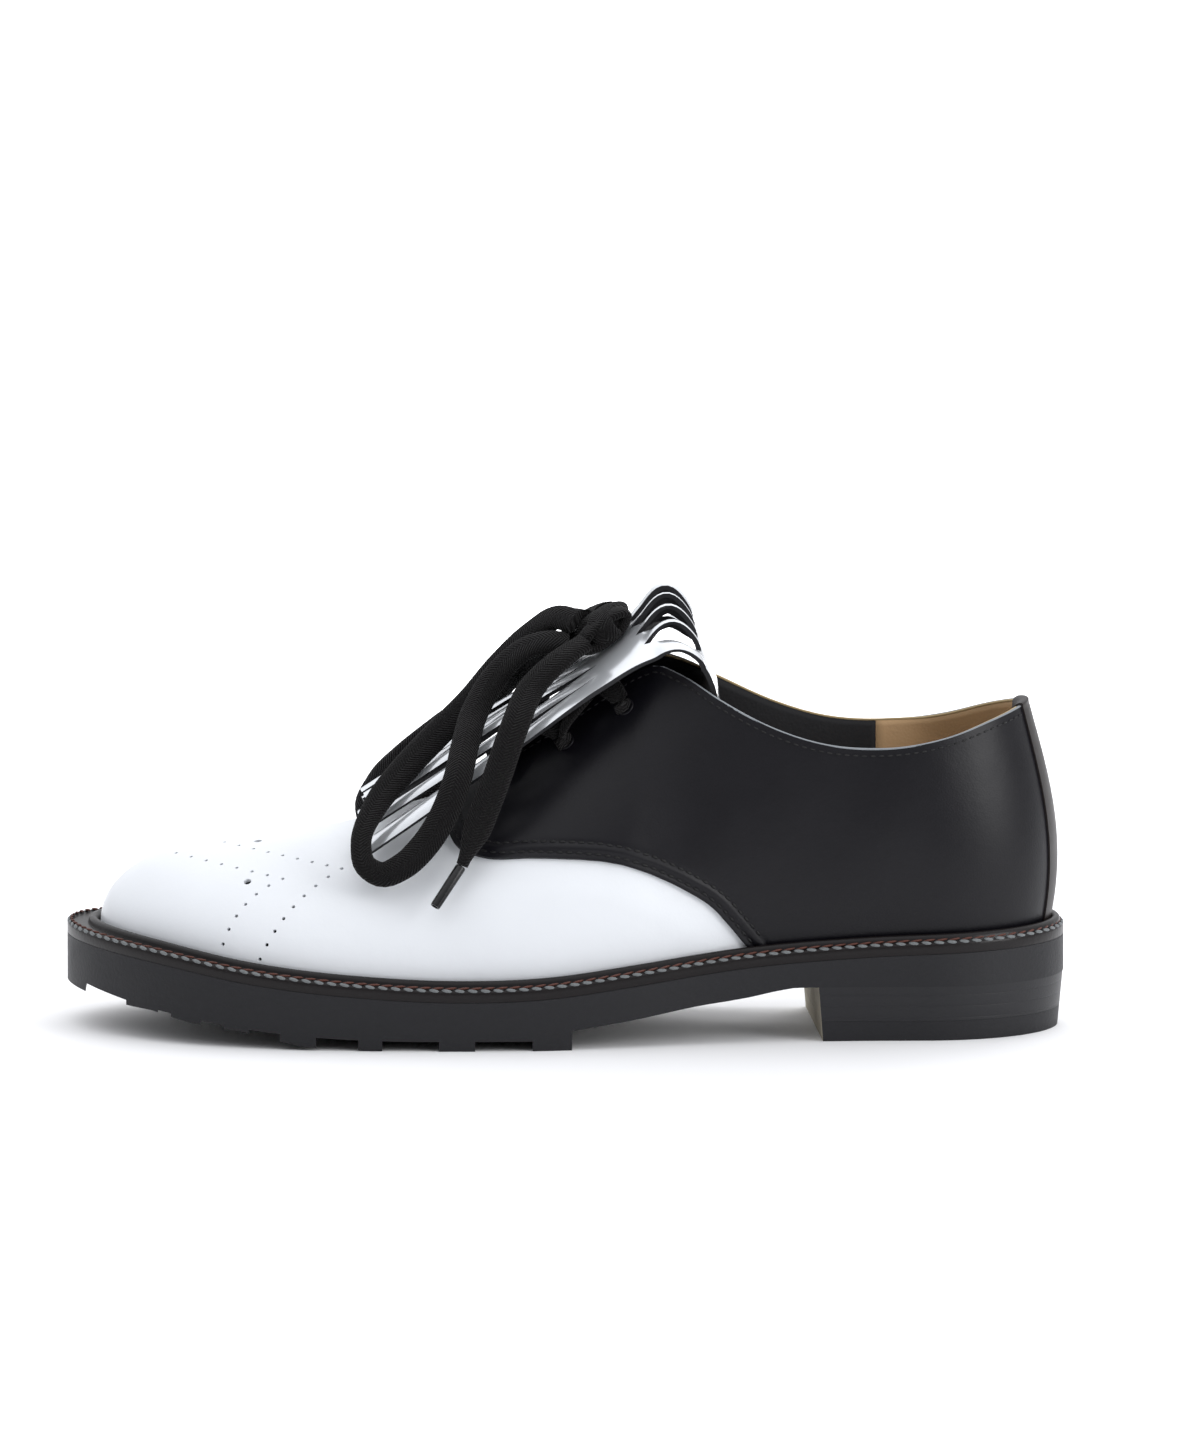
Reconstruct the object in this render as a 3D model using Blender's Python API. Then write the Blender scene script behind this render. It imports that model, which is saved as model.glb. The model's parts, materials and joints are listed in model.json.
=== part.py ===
"""Left derby shoe with a kiltie tongue, a lugged rubber sole and a tied lace.

Sizes are in millimetres and become metres where a mesh is made. +X runs from toe to heel,
-Y is the outer (lateral) side, +Z is up and the floor is z = 0.
"""
import math

import bmesh
import bpy
from mathutils import Matrix, Vector

MM = 0.001
GAP = 0.3
MERGE = 0.002

# Driving sizes of the sole
SOLE_LENGTH = 275.0
TOE_ROUND = 77.5
HEEL_ROUND = 37.5
SPRING_START = -40.0
SPRING_RADIUS = 415.0
WELT_THICK = 3.4
RIB_HEIGHT = 2.0
RIB_WIDTH = 2.8
HEEL_SEAT = 15.2
HEEL_BREAST = 69.7
HEEL_BREAST_SKEW = math.tan(math.radians(4.0))
HEEL_INSET = 0.65
HEEL_TAPER = 0.038
HEEL_CENTRE = (100.0, -1.0, 0.0)
TOP_PIECE = 5.5
LUG_END = 2.0
SLOT_DEPTH = 2.7
SLOT_REACH = 24.0
BAR_SLOT_HALF = 17.0
CUT_CLEAR = 10.0

# Driving sizes of the upper, insole and tongue
WALL = 2.0
FEATHER_LIFT = 0.35
INSOLE_CLEAR = 0.6
INSOLE_RISE = 1.5
COLLAR_BACK = 127.2
COLLAR_ROUND = 39.0
TONGUE_THICK = 1.8

# Driving sizes of the lace
LACE_TUBE = 4.6
BAR_TUBE = 3.2
BAR_LIFT = 0.6
EYELET_DEPTH = 0.9
AGLET_TUBE = 3.3
AGLET_LENGTH = 13.4
LACE_POINT_SPACING = 8.0
KNOT_HALF = (9.0, 8.0, 3.8)
KNOT_CENTRE = (9.6, -9.0, 110.9)
KNOT_TILT = math.radians(-36.0)
KNOT_ROLL = math.radians(10.0)

# Mesh fineness
SOLE_STATIONS = 44
WAIST_STEPS = 24
RING_STATIONS = 76
UPPER_COLUMNS = 36
UPPER_ROWS = 10
TONGUE_STEPS = 32
TONGUE_ACROSS = 8


def table(columns, *rows):
    """Turn rows of numbers into one list for each named column; the first column is the key."""
    names = columns.split()
    return {name: [row[i] for row in rows] for i, name in enumerate(names)}


def read(rows, column, key):
    """Value of a column at a key, on a smooth curve through the table's rows."""
    keys = next(iter(rows.values()))
    values = rows[column]
    if key <= keys[0]:
        return values[0]
    if key >= keys[-1]:
        return values[-1]
    i = max(k for k in range(len(keys) - 1) if keys[k] <= key)
    span = keys[i + 1] - keys[i]
    t = (key - keys[i]) / span
    start = slope_at(keys, values, i) * span
    end = slope_at(keys, values, i + 1) * span
    rise = values[i + 1] - values[i]
    square = 3 * rise - 2 * start - end
    cube = start + end - 2 * rise
    return values[i] + t * start + t ** 2 * square + t ** 3 * cube


def slope_at(keys, values, i):
    """Slope of the smooth curve at row i."""
    last = len(keys) - 1
    before = (values[i] - values[i - 1]) / (keys[i] - keys[i - 1]) if i > 0 else None
    after = (values[i + 1] - values[i]) / (keys[i + 1] - keys[i]) if i < last else None
    if before is None:
        return after
    if after is None:
        return before
    left = keys[i] - keys[i - 1]
    right = keys[i + 1] - keys[i]
    return (right * before + left * after) / (left + right)


# Plan of the sole, by place along the shoe
SOLE_PLAN = table(
    "x middle half_width",
    (-137.5, 6.0, 49.5),
    (-105.0, 2.3, 49.5),
    (-60.0, 0.2, 49.4),
    (-35.0, -1.7, 48.4),
    (-10.0, -4.9, 44.5),
    (15.0, -6.6, 38.8),
    (40.0, -5.5, 33.5),
    (60.0, -4.2, 31.2),
    (80.0, -2.5, 31.0),
    (100.0, -1.0, 32.0),
    (137.5, -0.5, 32.0),
)

# Side of the sole: top of the welt, and how far the welt stands out beyond the upper
WELT_SIDE = table(
    "x top reach",
    (-137.5, 28.0, 9.2),
    (-112.0, 25.2, 8.6),
    (-86.0, 21.1, 7.6),
    (-57.0, 18.1, 7.0),
    (-30.0, 16.8, 7.0),
    (-4.0, 17.6, 6.8),
    (20.0, 20.5, 6.4),
    (50.0, 24.3, 5.8),
    (80.0, 26.5, 5.0),
    (137.5, 28.6, 4.2),
)

# Underside of the waist, from the last lug to the heel breast
WAIST_SIDE = table(
    "x under",
    (2.0, 5.3),
    (20.0, 8.0),
    (35.0, 10.7),
    (51.0, 13.0),
    (58.0, 14.4),
    (63.0, 15.2),
)

# Slots between the lugs along both edges, from start to end along the shoe
EDGE_SLOTS = (
    (-111.6, -108.0),
    (-99.7, -93.4),
    (-86.5, -78.0),
    (-68.0, -56.5),
    (-49.9, -34.4),
    (-24.5, -8.8),
)

# Cross slots in the middle of the tread: where each starts, and their width
BAR_SLOT_STARTS = (-118.0, -104.0, -90.0, -74.0, -54.0, -32.0)
BAR_SLOT_WIDTH = 5.0

# Top line of the upper: vamp crest to the throat, facing edge to its corner, then the collar
THROAT = -33.0
TOP_LINE = table(
    "x height half_gap middle",
    (-97.0, 50.3, 0.0, 3.0),
    (-79.0, 52.2, 0.0, 2.2),
    (-61.4, 55.2, 0.0, 1.4),
    (-48.0, 59.0, 0.0, 1.0),
    (-33.0, 65.6, 0.0, 0.6),
    (-20.0, 72.8, 5.5, 0.3),
    (-4.0, 82.8, 8.0, 0.0),
    (12.0, 94.0, 10.5, 0.0),
    (20.0, 99.4, 12.0, 0.0),
    (25.0, 101.4, 14.0, 0.0),
    (31.0, 99.6, 17.0, 0.0),
    (43.0, 92.8, 23.5, 0.0),
    (57.0, 85.8, 26.3, 0.0),
    (71.0, 81.4, 27.2, 0.0),
    (86.0, 80.2, 27.2, 0.0),
    (106.0, 83.0, 27.0, -0.3),
    (118.0, 86.9, 26.5, -0.5),
    (127.2, 89.8, 26.0, -0.5),
)

# Sections of the upper, by place along the sole: where each meets the top line and how it bends
SECTIONS = table(
    "x top_x foot_lean foot_pull top_angle top_pull",
    (-137.5, -97.0, 0.0, 0.55, 0.0, 0.55),
    (-115.0, -88.0, 2.0, 0.55, 0.0, 0.56),
    (-90.0, -73.5, 5.0, 0.52, 0.0, 0.60),
    (-60.0, -52.5, 7.0, 0.50, 1.0, 0.60),
    (-38.0, -35.0, 8.0, 0.48, 8.0, 0.56),
    (-20.0, -16.0, 9.0, 0.45, 26.0, 0.48),
    (0.0, 6.0, 9.0, 0.42, 44.0, 0.42),
    (15.0, 24.0, 9.0, 0.40, 58.0, 0.40),
    (30.0, 38.5, 8.0, 0.38, 67.0, 0.38),
    (55.0, 59.5, 8.0, 0.36, 72.0, 0.36),
    (90.0, 90.0, 9.0, 0.36, 76.0, 0.36),
    (120.0, 114.5, 11.0, 0.38, 76.0, 0.36),
    (137.5, 127.2, 12.0, 0.40, 75.0, 0.35),
)

# Tongue along its middle: up inside the facings, over the top and forward as the kiltie
TONGUE_PATH = table(
    "step x z half drop sweep",
    (0, -42.0, 57.2, 11.0, 2.0, 0.0),
    (1, -26.0, 64.6, 13.0, 4.0, 0.0),
    (2, -8.0, 74.0, 15.0, 6.0, 0.0),
    (3, 10.0, 82.4, 16.6, 8.0, 0.0),
    (4, 26.0, 87.4, 17.2, 9.0, 0.0),
    (5, 36.0, 89.0, 17.6, 9.0, 0.0),
    (6, 41.2, 93.0, 17.8, 9.0, 0.5),
    (7, 39.6, 100.0, 18.0, 9.4, 2.0),
    (8, 36.6, 108.2, 19.6, 10.0, 3.2),
    (9, 32.6, 116.4, 24.4, 12.6, 3.4),
    (10, 27.8, 120.4, 26.6, 13.8, 3.0),
    (11, 21.4, 115.0, 27.2, 10.6, 1.6),
    (12, 10.0, 105.3, 27.6, 8.2, 0.4),
    (13, -5.0, 95.5, 28.2, 9.0, 0.0),
    (14, -22.0, 84.6, 29.0, 10.4, 0.0),
    (15, -40.0, 72.9, 29.5, 11.4, 0.0),
    (16, -56.0, 62.5, 30.0, 12.0, 0.0),
)

# Eyelet rows, by place along the sole, and the lace crossings between them
EYELET_ROWS = (-21.0, -4.0, 10.0)

# Routes of the bow from the knot, point by point: each loop comes back to the knot
LOOP_ROUTES = {
    "lace_loop_lateral": (
        (2.9, -8.4, 112.9),
        (-2.2, -5.2, 113.6),
        (-9.2, -1.6, 108.6),
        (-17.4, -0.5, 100.2),
        (-26.2, -4.0, 90.0),
        (-35.3, -10.0, 81.6),
        (-44.4, -18.5, 73.0),
        (-52.2, -27.0, 64.0),
        (-55.8, -34.8, 55.0),
        (-54.6, -38.2, 49.8),
        (-50.2, -39.6, 47.4),
        (-44.2, -39.6, 49.8),
        (-38.8, -38.6, 54.8),
        (-33.9, -37.2, 62.0),
        (-29.6, -34.0, 72.4),
        (-27.2, -25.0, 81.6),
        (-24.5, -15.0, 89.2),
        (-18.7, -9.5, 98.2),
        (-10.4, -10.6, 105.8),
        (-4.6, -11.4, 107.6),
        (1.0, -11.2, 107.1),
    ),
    "lace_loop_medial": (
        (4.8, -2.6, 113.3),
        (-0.6, 3.2, 113.0),
        (-8.8, 7.4, 106.6),
        (-17.4, 11.0, 97.0),
        (-26.2, 15.0, 86.6),
        (-35.3, 20.0, 78.6),
        (-44.4, 25.0, 70.6),
        (-52.0, 32.0, 62.4),
        (-55.6, 36.0, 54.6),
        (-53.8, 38.6, 49.6),
        (-48.4, 39.0, 48.2),
        (-42.2, 38.4, 51.8),
        (-37.0, 37.0, 58.0),
        (-32.0, 36.5, 66.0),
        (-27.2, 34.5, 75.0),
        (-21.8, 28.5, 84.2),
        (-16.0, 21.0, 92.6),
        (-9.2, 16.0, 98.8),
        (-3.2, 7.0, 103.6),
        (2.0, -3.4, 107.0),
    ),
}
TAIL_ROUTES = {
    "lateral": (
        (5.6, -17.6, 108.4),
        (-0.6, -20.4, 104.6),
        (-8.7, -22.5, 97.0),
        (-13.8, -30.5, 86.8),
        (-18.4, -35.0, 74.0),
        (-23.4, -37.6, 61.0),
        (-28.1, -40.6, 50.2),
    ),
    "medial": (
        (11.2, -0.6, 115.0),
        (8.4, 10.6, 112.6),
        (2.4, 21.4, 104.8),
        (-4.6, 28.0, 95.4),
        (-8.6, 33.5, 85.0),
        (-12.4, 36.6, 73.0),
        (-16.0, 39.0, 61.0),
        (-20.4, 41.0, 50.0),
    ),
}

# Directions in which the aglets point from the ends of the tails
AGLET_WAYS = {
    "lateral": (-8.0, -5.6, -11.6),
    "medial": (-5.4, 3.0, -11.0),
}

# Colours used by more than one piece
COTTON = (0.012, 0.011, 0.011)
AGLET_PLASTIC = (0.015, 0.015, 0.017)


def toe_spring(x):
    """Height of the forefoot's tread above the floor."""
    ahead = min(0.0, x - SPRING_START)
    return SPRING_RADIUS - math.sqrt(SPRING_RADIUS ** 2 - ahead ** 2)


def round_end(x):
    """How far the outline has opened out of the round toe or heel, from 0 to 1."""
    toe = min(1.0, (x + SOLE_LENGTH / 2) / TOE_ROUND)
    heel = min(1.0, (SOLE_LENGTH / 2 - x) / HEEL_ROUND)
    open_toe = math.sqrt(max(0.0, 1.0 - (1.0 - toe) ** 2))
    open_heel = math.sqrt(max(0.0, 1.0 - (1.0 - heel) ** 2))
    return open_toe * open_heel


def outline(turn):
    """Sole outline: turn 0 at the toe, pi at the heel, lateral side first."""
    x = -SOLE_LENGTH / 2 * math.cos(turn)
    side = -1.0 if math.sin(turn) >= 0.0 else 1.0
    y = read(SOLE_PLAN, "middle", x) + side * read(SOLE_PLAN, "half_width", x) * round_end(x)
    return Vector((x, y, 0.0))


def turn_at(x):
    """Turn of the outline's lateral point at a place along the shoe."""
    return math.acos(-x / (SOLE_LENGTH / 2))


def outward(turn):
    """Level direction out of the sole's outline."""
    step = 0.02
    along = outline(turn + step) - outline(turn - step)
    return Vector((along.y, -along.x, 0.0)).normalized()


def inset(turn, distance):
    """Point a distance inside the sole's outline."""
    return outline(turn) - outward(turn) * distance


def welt_top(x):
    """Height of the welt's flat top."""
    return read(WELT_SIDE, "top", x)


def welt_joint(x):
    """Height of the joint between outsole and welt."""
    return welt_top(x) - WELT_THICK


def welt_reach(turn):
    """How far the welt stands out beyond the upper."""
    return read(WELT_SIDE, "reach", outline(turn).x)


def upper_foot(turn):
    """Feather line, where the upper's wall meets the welt."""
    point = inset(turn, welt_reach(turn))
    point.z = welt_top(point.x) + FEATHER_LIFT
    return point


def upper_top(turn):
    """Top end of the section that starts at this turn."""
    x = read(SECTIONS, "top_x", outline(turn).x)
    side = -1.0 if math.sin(turn) >= 0.0 else 1.0
    back = max(0.0, x - (COLLAR_BACK - COLLAR_ROUND)) / COLLAR_ROUND
    gap = read(TOP_LINE, "half_gap", x) if x > THROAT else 0.0
    y = read(TOP_LINE, "middle", x) + side * gap * math.sqrt(max(0.0, 1.0 - back ** 2))
    return Vector((x, y, read(TOP_LINE, "height", x)))


def upper_point(turn, rise):
    """Outer face of the upper; rise runs from 0 at the feather line to 1 at the top line."""
    station = outline(turn).x
    foot = upper_foot(turn)
    top = upper_top(turn)
    height = top.z - foot.z
    lean = math.radians(read(SECTIONS, "foot_lean", station))
    angle = math.radians(read(SECTIONS, "top_angle", station))
    away = Vector((foot.x - top.x, foot.y - top.y, 0.0))
    reach = away.length
    away.normalize()
    crest_slope = read(TOP_LINE, "height", top.x + 1.0) - read(TOP_LINE, "height", top.x)
    level = away + Vector((0.0, 0.0, crest_slope * math.cos(angle) ** 4 * away.x))
    span = reach * math.cos(angle) + height * math.sin(angle)
    foot_way = Vector((0.0, 0.0, math.cos(lean))) + outward(turn) * math.sin(lean)
    top_way = level * math.cos(angle) - Vector((0.0, 0.0, math.sin(angle)))
    low = foot + foot_way * (height * read(SECTIONS, "foot_pull", station))
    high = top + top_way * (span * read(SECTIONS, "top_pull", station))
    rest = 1.0 - rise
    return rest ** 3 * foot + 3 * rest ** 2 * rise * low + 3 * rest * rise ** 2 * high + rise ** 3 * top


def upper_normal(turn, rise):
    """Direction out of the upper's outer face."""
    step = 0.01
    along = upper_point(turn + step, rise) - upper_point(turn - step, rise)
    up = upper_point(turn, min(1.0, rise + step)) - upper_point(turn, max(0.0, rise - step))
    return along.cross(up).normalized()


def finish(name, mesh, colour, roughness):
    """Turn a bmesh into a named object with its own material."""
    data = bpy.data.meshes.new(name)
    mesh.to_mesh(data)
    mesh.free()
    data.shade_smooth()
    data.set_sharp_from_angle(angle=math.radians(35.0))
    body = bpy.data.objects.new(name, data)
    bpy.context.scene.collection.objects.link(body)
    paint(body, colour, roughness)
    return body


def paint(body, colour, roughness):
    """Give a body one plain material of its own."""
    material = bpy.data.materials.new(body.name)
    material.use_nodes = True
    shader = material.node_tree.nodes["Principled BSDF"]
    shader.inputs["Base Color"].default_value = (*colour, 1.0)
    shader.inputs["Roughness"].default_value = roughness
    body.data.materials.append(material)


def add_grid(mesh, columns, rows, place):
    """Add a grid and move each vertex to place(column, row)."""
    made = bmesh.ops.create_grid(mesh, x_segments=columns, y_segments=rows, size=0.5)
    for vertex in made["verts"]:
        column = round((vertex.co.x + 0.5) * columns)
        row = round((vertex.co.y + 0.5) * rows)
        vertex.co = place(column, row) * MM


def close(mesh):
    """Join the seams of a closed form and turn its faces outwards."""
    bmesh.ops.remove_doubles(mesh, verts=mesh.verts, dist=MERGE * MM)
    bmesh.ops.dissolve_degenerate(mesh, edges=mesh.edges, dist=MERGE * MM)
    bmesh.ops.recalc_face_normals(mesh, faces=mesh.faces)


def plate(mesh, stations, edge, low, high, first=0.0, last=math.pi):
    """Closed plate across the shoe, between two heights that change along it."""

    def place(column, row):
        turn = first + (last - first) * column / stations
        corner = row % 4
        point = edge(turn if corner in (0, 3) else 2 * math.pi - turn)
        point.z = low(point.x) if corner in (0, 1) else high(point.x)
        return point

    add_grid(mesh, stations, 4, place)


def slab(mesh, ends, sides, top, bottom, steps=1):
    """Closed block over a stretch of the sole, with a top that follows a height."""

    def place(column, row):
        x = ends[0] + (ends[1] - ends[0]) * column / steps
        corner = row % 4
        y = sides[0] if corner in (0, 3) else sides[1]
        return Vector((x, y, bottom if corner in (0, 1) else top(x)))

    add_grid(mesh, steps, 4, place)


def sole_cutter():
    """Everything that is cut out of the outsole from below: waist, edge slots and cross slots."""

    def waist(x):
        return read(WAIST_SIDE, "under", x)

    def slot_floor(x):
        return toe_spring(x) + SLOT_DEPTH

    mesh = bmesh.new()
    waist_ends = (LUG_END, SOLE_LENGTH / 2 + CUT_CLEAR)
    slab(mesh, waist_ends, (-SOLE_LENGTH, SOLE_LENGTH), waist, -CUT_CLEAR, WAIST_STEPS)
    for ends in EDGE_SLOTS:
        turn = turn_at((ends[0] + ends[1]) / 2)
        lateral = (-SOLE_LENGTH, outline(turn).y + SLOT_REACH)
        medial = (outline(-turn).y - SLOT_REACH, SOLE_LENGTH)
        slab(mesh, ends, lateral, slot_floor, -CUT_CLEAR)
        slab(mesh, ends, medial, slot_floor, -CUT_CLEAR)
    for start in BAR_SLOT_STARTS:
        middle = read(SOLE_PLAN, "middle", start)
        sides = (middle - BAR_SLOT_HALF, middle + BAR_SLOT_HALF)
        slab(mesh, (start, start + BAR_SLOT_WIDTH), sides, slot_floor, -CUT_CLEAR)
    bmesh.ops.remove_doubles(mesh, verts=mesh.verts, dist=MERGE * MM)
    bmesh.ops.holes_fill(mesh, edges=mesh.edges, sides=4)
    bmesh.ops.recalc_face_normals(mesh, faces=mesh.faces)
    return cutter("sole_cutter", mesh)


def cutter(name, mesh):
    """Hidden tool object for a cut or a join."""
    data = bpy.data.meshes.new(name)
    mesh.to_mesh(data)
    mesh.free()
    tool = bpy.data.objects.new(name, data)
    bpy.context.scene.collection.objects.link(tool)
    tool.hide_render = True
    tool.display_type = "WIRE"
    return tool


def combine(body, tool, operation):
    """Cut a tool out of a body, or join it on."""
    step = body.modifiers.new(tool.name, "BOOLEAN")
    step.object = tool
    step.operation = operation
    step.solver = "EXACT"


def make_outsole():
    """Rubber sole: the outline between toe spring and welt, with waist and slots cut out."""
    mesh = bmesh.new()
    plate(mesh, SOLE_STATIONS, outline, toe_spring, welt_joint)
    close(mesh)
    body = finish("outsole", mesh, (0.022, 0.022, 0.024), 0.55)
    combine(body, sole_cutter(), "DIFFERENCE")


def make_heel():
    """Heel block and the top piece under it, cut off at the breast."""
    layers = (
        ("heel_block", TOP_PIECE + GAP, HEEL_SEAT - GAP, (0.024, 0.024, 0.026)),
        ("heel_top_piece", 0.0, TOP_PIECE, (0.018, 0.018, 0.02)),
    )
    first = turn_at(HEEL_BREAST - CUT_CLEAR)
    breast_edge = Vector((HEEL_BREAST, outline(turn_at(HEEL_BREAST)).y, 0.0))
    centre = Vector(HEEL_CENTRE) * MM

    def edge(turn):
        return inset(turn, HEEL_INSET)

    for name, low, high, colour in layers:
        mesh = bmesh.new()
        plate(mesh, SOLE_STATIONS // 2, edge, lambda x: low, lambda x: high, first)
        bmesh.ops.remove_doubles(mesh, verts=mesh.verts, dist=MERGE * MM)
        bmesh.ops.bisect_plane(
            mesh,
            geom=mesh.verts[:] + mesh.edges[:] + mesh.faces[:],
            plane_co=breast_edge * MM,
            plane_no=Vector((-1.0, -HEEL_BREAST_SKEW, 0.0)),
            clear_outer=True,
        )
        bmesh.ops.holes_fill(mesh, edges=mesh.edges, sides=8)
        for vertex in mesh.verts:
            depth = 1.0 - vertex.co.z / (HEEL_SEAT * MM)
            scale = 1.0 - HEEL_TAPER * depth
            vertex.co.x = centre.x + (vertex.co.x - centre.x) * scale
            vertex.co.y = centre.y + (vertex.co.y - centre.y) * scale
        close(mesh)
        finish(name, mesh, colour, 0.45)


def make_welt():
    """Storm welt: a strip on the outsole's rim with a rounded rib beside the upper."""

    def profile(turn):
        reach = welt_reach(turn)
        rib = reach - RIB_WIDTH - 2 * GAP
        return (
            (0.0, GAP),
            (0.0, WELT_THICK),
            (rib, WELT_THICK),
            (rib + 0.15 * RIB_WIDTH, WELT_THICK + 0.7 * RIB_HEIGHT),
            (rib + 0.5 * RIB_WIDTH, WELT_THICK + RIB_HEIGHT),
            (rib + 0.85 * RIB_WIDTH, WELT_THICK + 0.7 * RIB_HEIGHT),
            (rib + RIB_WIDTH, WELT_THICK),
            (reach + WALL, WELT_THICK),
            (reach + WALL, GAP),
        )

    points = len(profile(0.0))

    def place(column, row):
        turn = 2 * math.pi * (column % RING_STATIONS) / RING_STATIONS
        distance, height = profile(turn)[row % points]
        point = inset(turn, distance)
        point.z = welt_joint(point.x) + height
        return point

    mesh = bmesh.new()
    add_grid(mesh, RING_STATIONS, points, place)
    close(mesh)
    finish("welt", mesh, (0.05, 0.03, 0.025), 0.4)


def make_insole():
    """Board and sock that fill the welt's ring and stand a little above it."""

    def edge(turn):
        return inset(turn, welt_reach(turn) + WALL + INSOLE_CLEAR)

    def under(x):
        return welt_joint(x) + GAP

    def tread(x):
        return welt_top(x) + INSOLE_RISE

    mesh = bmesh.new()
    plate(mesh, SOLE_STATIONS, edge, under, tread)
    close(mesh)
    finish("insole", mesh, (0.35, 0.26, 0.13), 0.7)


def make_upper():
    """Vamp and quarters as one wall, open at the collar, the throat and underneath."""
    mesh = bmesh.new()
    for way in (1, -1):

        def place(column, row):
            turn = way * math.pi * column / UPPER_COLUMNS
            return upper_point(turn, row / UPPER_ROWS)

        first = len(mesh.faces)
        add_grid(mesh, UPPER_COLUMNS, UPPER_ROWS, place)
        if way < 0:
            mesh.faces.ensure_lookup_table()
            bmesh.ops.reverse_faces(mesh, faces=mesh.faces[first:])
    bmesh.ops.remove_doubles(mesh, verts=mesh.verts, dist=MERGE * MM)
    body = finish("upper", mesh, (0.03, 0.03, 0.033), 0.4)
    wall = body.modifiers.new("wall", "SOLIDIFY")
    wall.thickness = WALL * MM
    wall.offset = -1.0
    wall.use_even_offset = True


def along_path(points):
    """Distance from the first point to each point of a path."""
    distances = [0.0]
    for before, after in zip(points, points[1:]):
        distances.append(distances[-1] + math.dist(before, after))
    return distances


def tongue_point(along, across):
    """Middle of the tongue's leather: along is 0 inside and 1 at the tip, across is -1 to 1."""
    middle = list(zip(TONGUE_PATH["x"], TONGUE_PATH["z"]))
    lengths = along_path(middle)
    strip = dict(TONGUE_PATH, step=lengths)
    place = along * lengths[-1]
    x = read(strip, "x", place) + read(strip, "sweep", place) * across ** 2
    z = read(strip, "z", place) - read(strip, "drop", place) * across ** 2
    return Vector((x, across * read(strip, "half", place), z))


def make_tongue():
    """Domed strip: its middle follows the path, its edges hang lower."""

    def place(column, row):
        return tongue_point(column / TONGUE_STEPS, 2.0 * row / TONGUE_ACROSS - 1.0)

    mesh = bmesh.new()
    add_grid(mesh, TONGUE_STEPS, TONGUE_ACROSS, place)
    body = finish("tongue", mesh, (0.012, 0.012, 0.013), 0.12)
    leather = body.modifiers.new("leather", "SOLIDIFY")
    leather.thickness = TONGUE_THICK * MM
    leather.offset = 0.0


def tube(name, points, width):
    """Round tube with flat ends along a list of points."""
    data = bpy.data.curves.new(name, "CURVE")
    data.dimensions = "3D"
    data.bevel_depth = width / 2 * MM
    data.bevel_resolution = 2
    data.use_fill_caps = True
    spline = data.splines.new("POLY")
    spline.points.add(len(points) - 1)
    for knot, point in zip(spline.points, points):
        knot.co = (*(Vector(point) * MM), 1.0)
    body = bpy.data.objects.new(name, data)
    bpy.context.scene.collection.objects.link(body)
    return body


def tube_tool(name, points, width):
    """The same tube as a hidden mesh, for joining to another."""
    body = tube(name + "_curve", points, width)
    shown = body.evaluated_get(bpy.context.evaluated_depsgraph_get())
    mesh = bmesh.new()
    mesh.from_mesh(bpy.data.meshes.new_from_object(shown))
    bpy.data.objects.remove(body)
    return mesh


def make_lace_bars():
    """Crossings between the facings: one bar at the lowest eyelets, then two diagonals a row."""

    def over(station, side, rise):
        turn = side * turn_at(station)
        return upper_point(turn, rise) + upper_normal(turn, rise) * (BAR_TUBE / 2 + BAR_LIFT)

    def crossing(start, end, side):
        third = (end - start) / 3
        near = over(start + third, side, 1.0)
        far = over(end - third, -side, 1.0)
        first = over(start, side, EYELET_DEPTH)
        last = over(end, -side, EYELET_DEPTH)
        return [first, near, (near + far) / 2, far, last]

    runs = [crossing(EYELET_ROWS[0], EYELET_ROWS[0], 1)]
    for low, high in zip(EYELET_ROWS, EYELET_ROWS[1:]):
        for side in (1, -1):
            runs.append(crossing(low, high, side))
    body = finish("lace_bars", tube_tool("lace_bar_0", runs[0], BAR_TUBE), COTTON, 0.9)
    for number, run in enumerate(runs[1:], 1):
        name = f"lace_bar_{number}"
        combine(body, cutter(name, tube_tool(name, run, BAR_TUBE)), "UNION")


def smooth_points(route, spacing):
    """Evenly spaced points of the smooth curve through a route."""
    lengths = along_path(route)
    rows = table("along x y z", *[(s, *point) for s, point in zip(lengths, route)])
    count = round(lengths[-1] / spacing)
    stops = [lengths[-1] * i / count for i in range(count + 1)]
    return [Vector([read(rows, axis, stop) for axis in "xyz"]) for stop in stops]


def cord(name, points, width, colour, roughness):
    """Tube with a material of its own."""
    body = tube(name, points, width)
    paint(body, colour, roughness)


def make_bow():
    """Knot on the kiltie, two loops, and two tails that end in aglets."""
    mesh = bmesh.new()
    bmesh.ops.create_uvsphere(mesh, u_segments=16, v_segments=10, radius=MM)
    turned = Matrix.Rotation(KNOT_TILT, 4, "Y") @ Matrix.Rotation(KNOT_ROLL, 4, "X")
    placed = Matrix.Translation(Vector(KNOT_CENTRE) * MM) @ turned
    bmesh.ops.scale(mesh, vec=Vector(KNOT_HALF), verts=mesh.verts)
    bmesh.ops.transform(mesh, matrix=placed, verts=mesh.verts)
    finish("lace_knot", mesh, COTTON, 0.9)
    for name, route in LOOP_ROUTES.items():
        cord(name, smooth_points(route, LACE_POINT_SPACING), LACE_TUBE, COTTON, 0.9)
    for side, route in TAIL_ROUTES.items():
        points = smooth_points(route, LACE_POINT_SPACING)
        cord(f"lace_end_{side}", points, LACE_TUBE, COTTON, 0.9)
        way = Vector(AGLET_WAYS[side]).normalized()
        start = points[-1] + way * 2 * GAP
        cord(f"aglet_{side}", [start, start + way * AGLET_LENGTH], AGLET_TUBE, AGLET_PLASTIC, 0.25)


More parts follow.
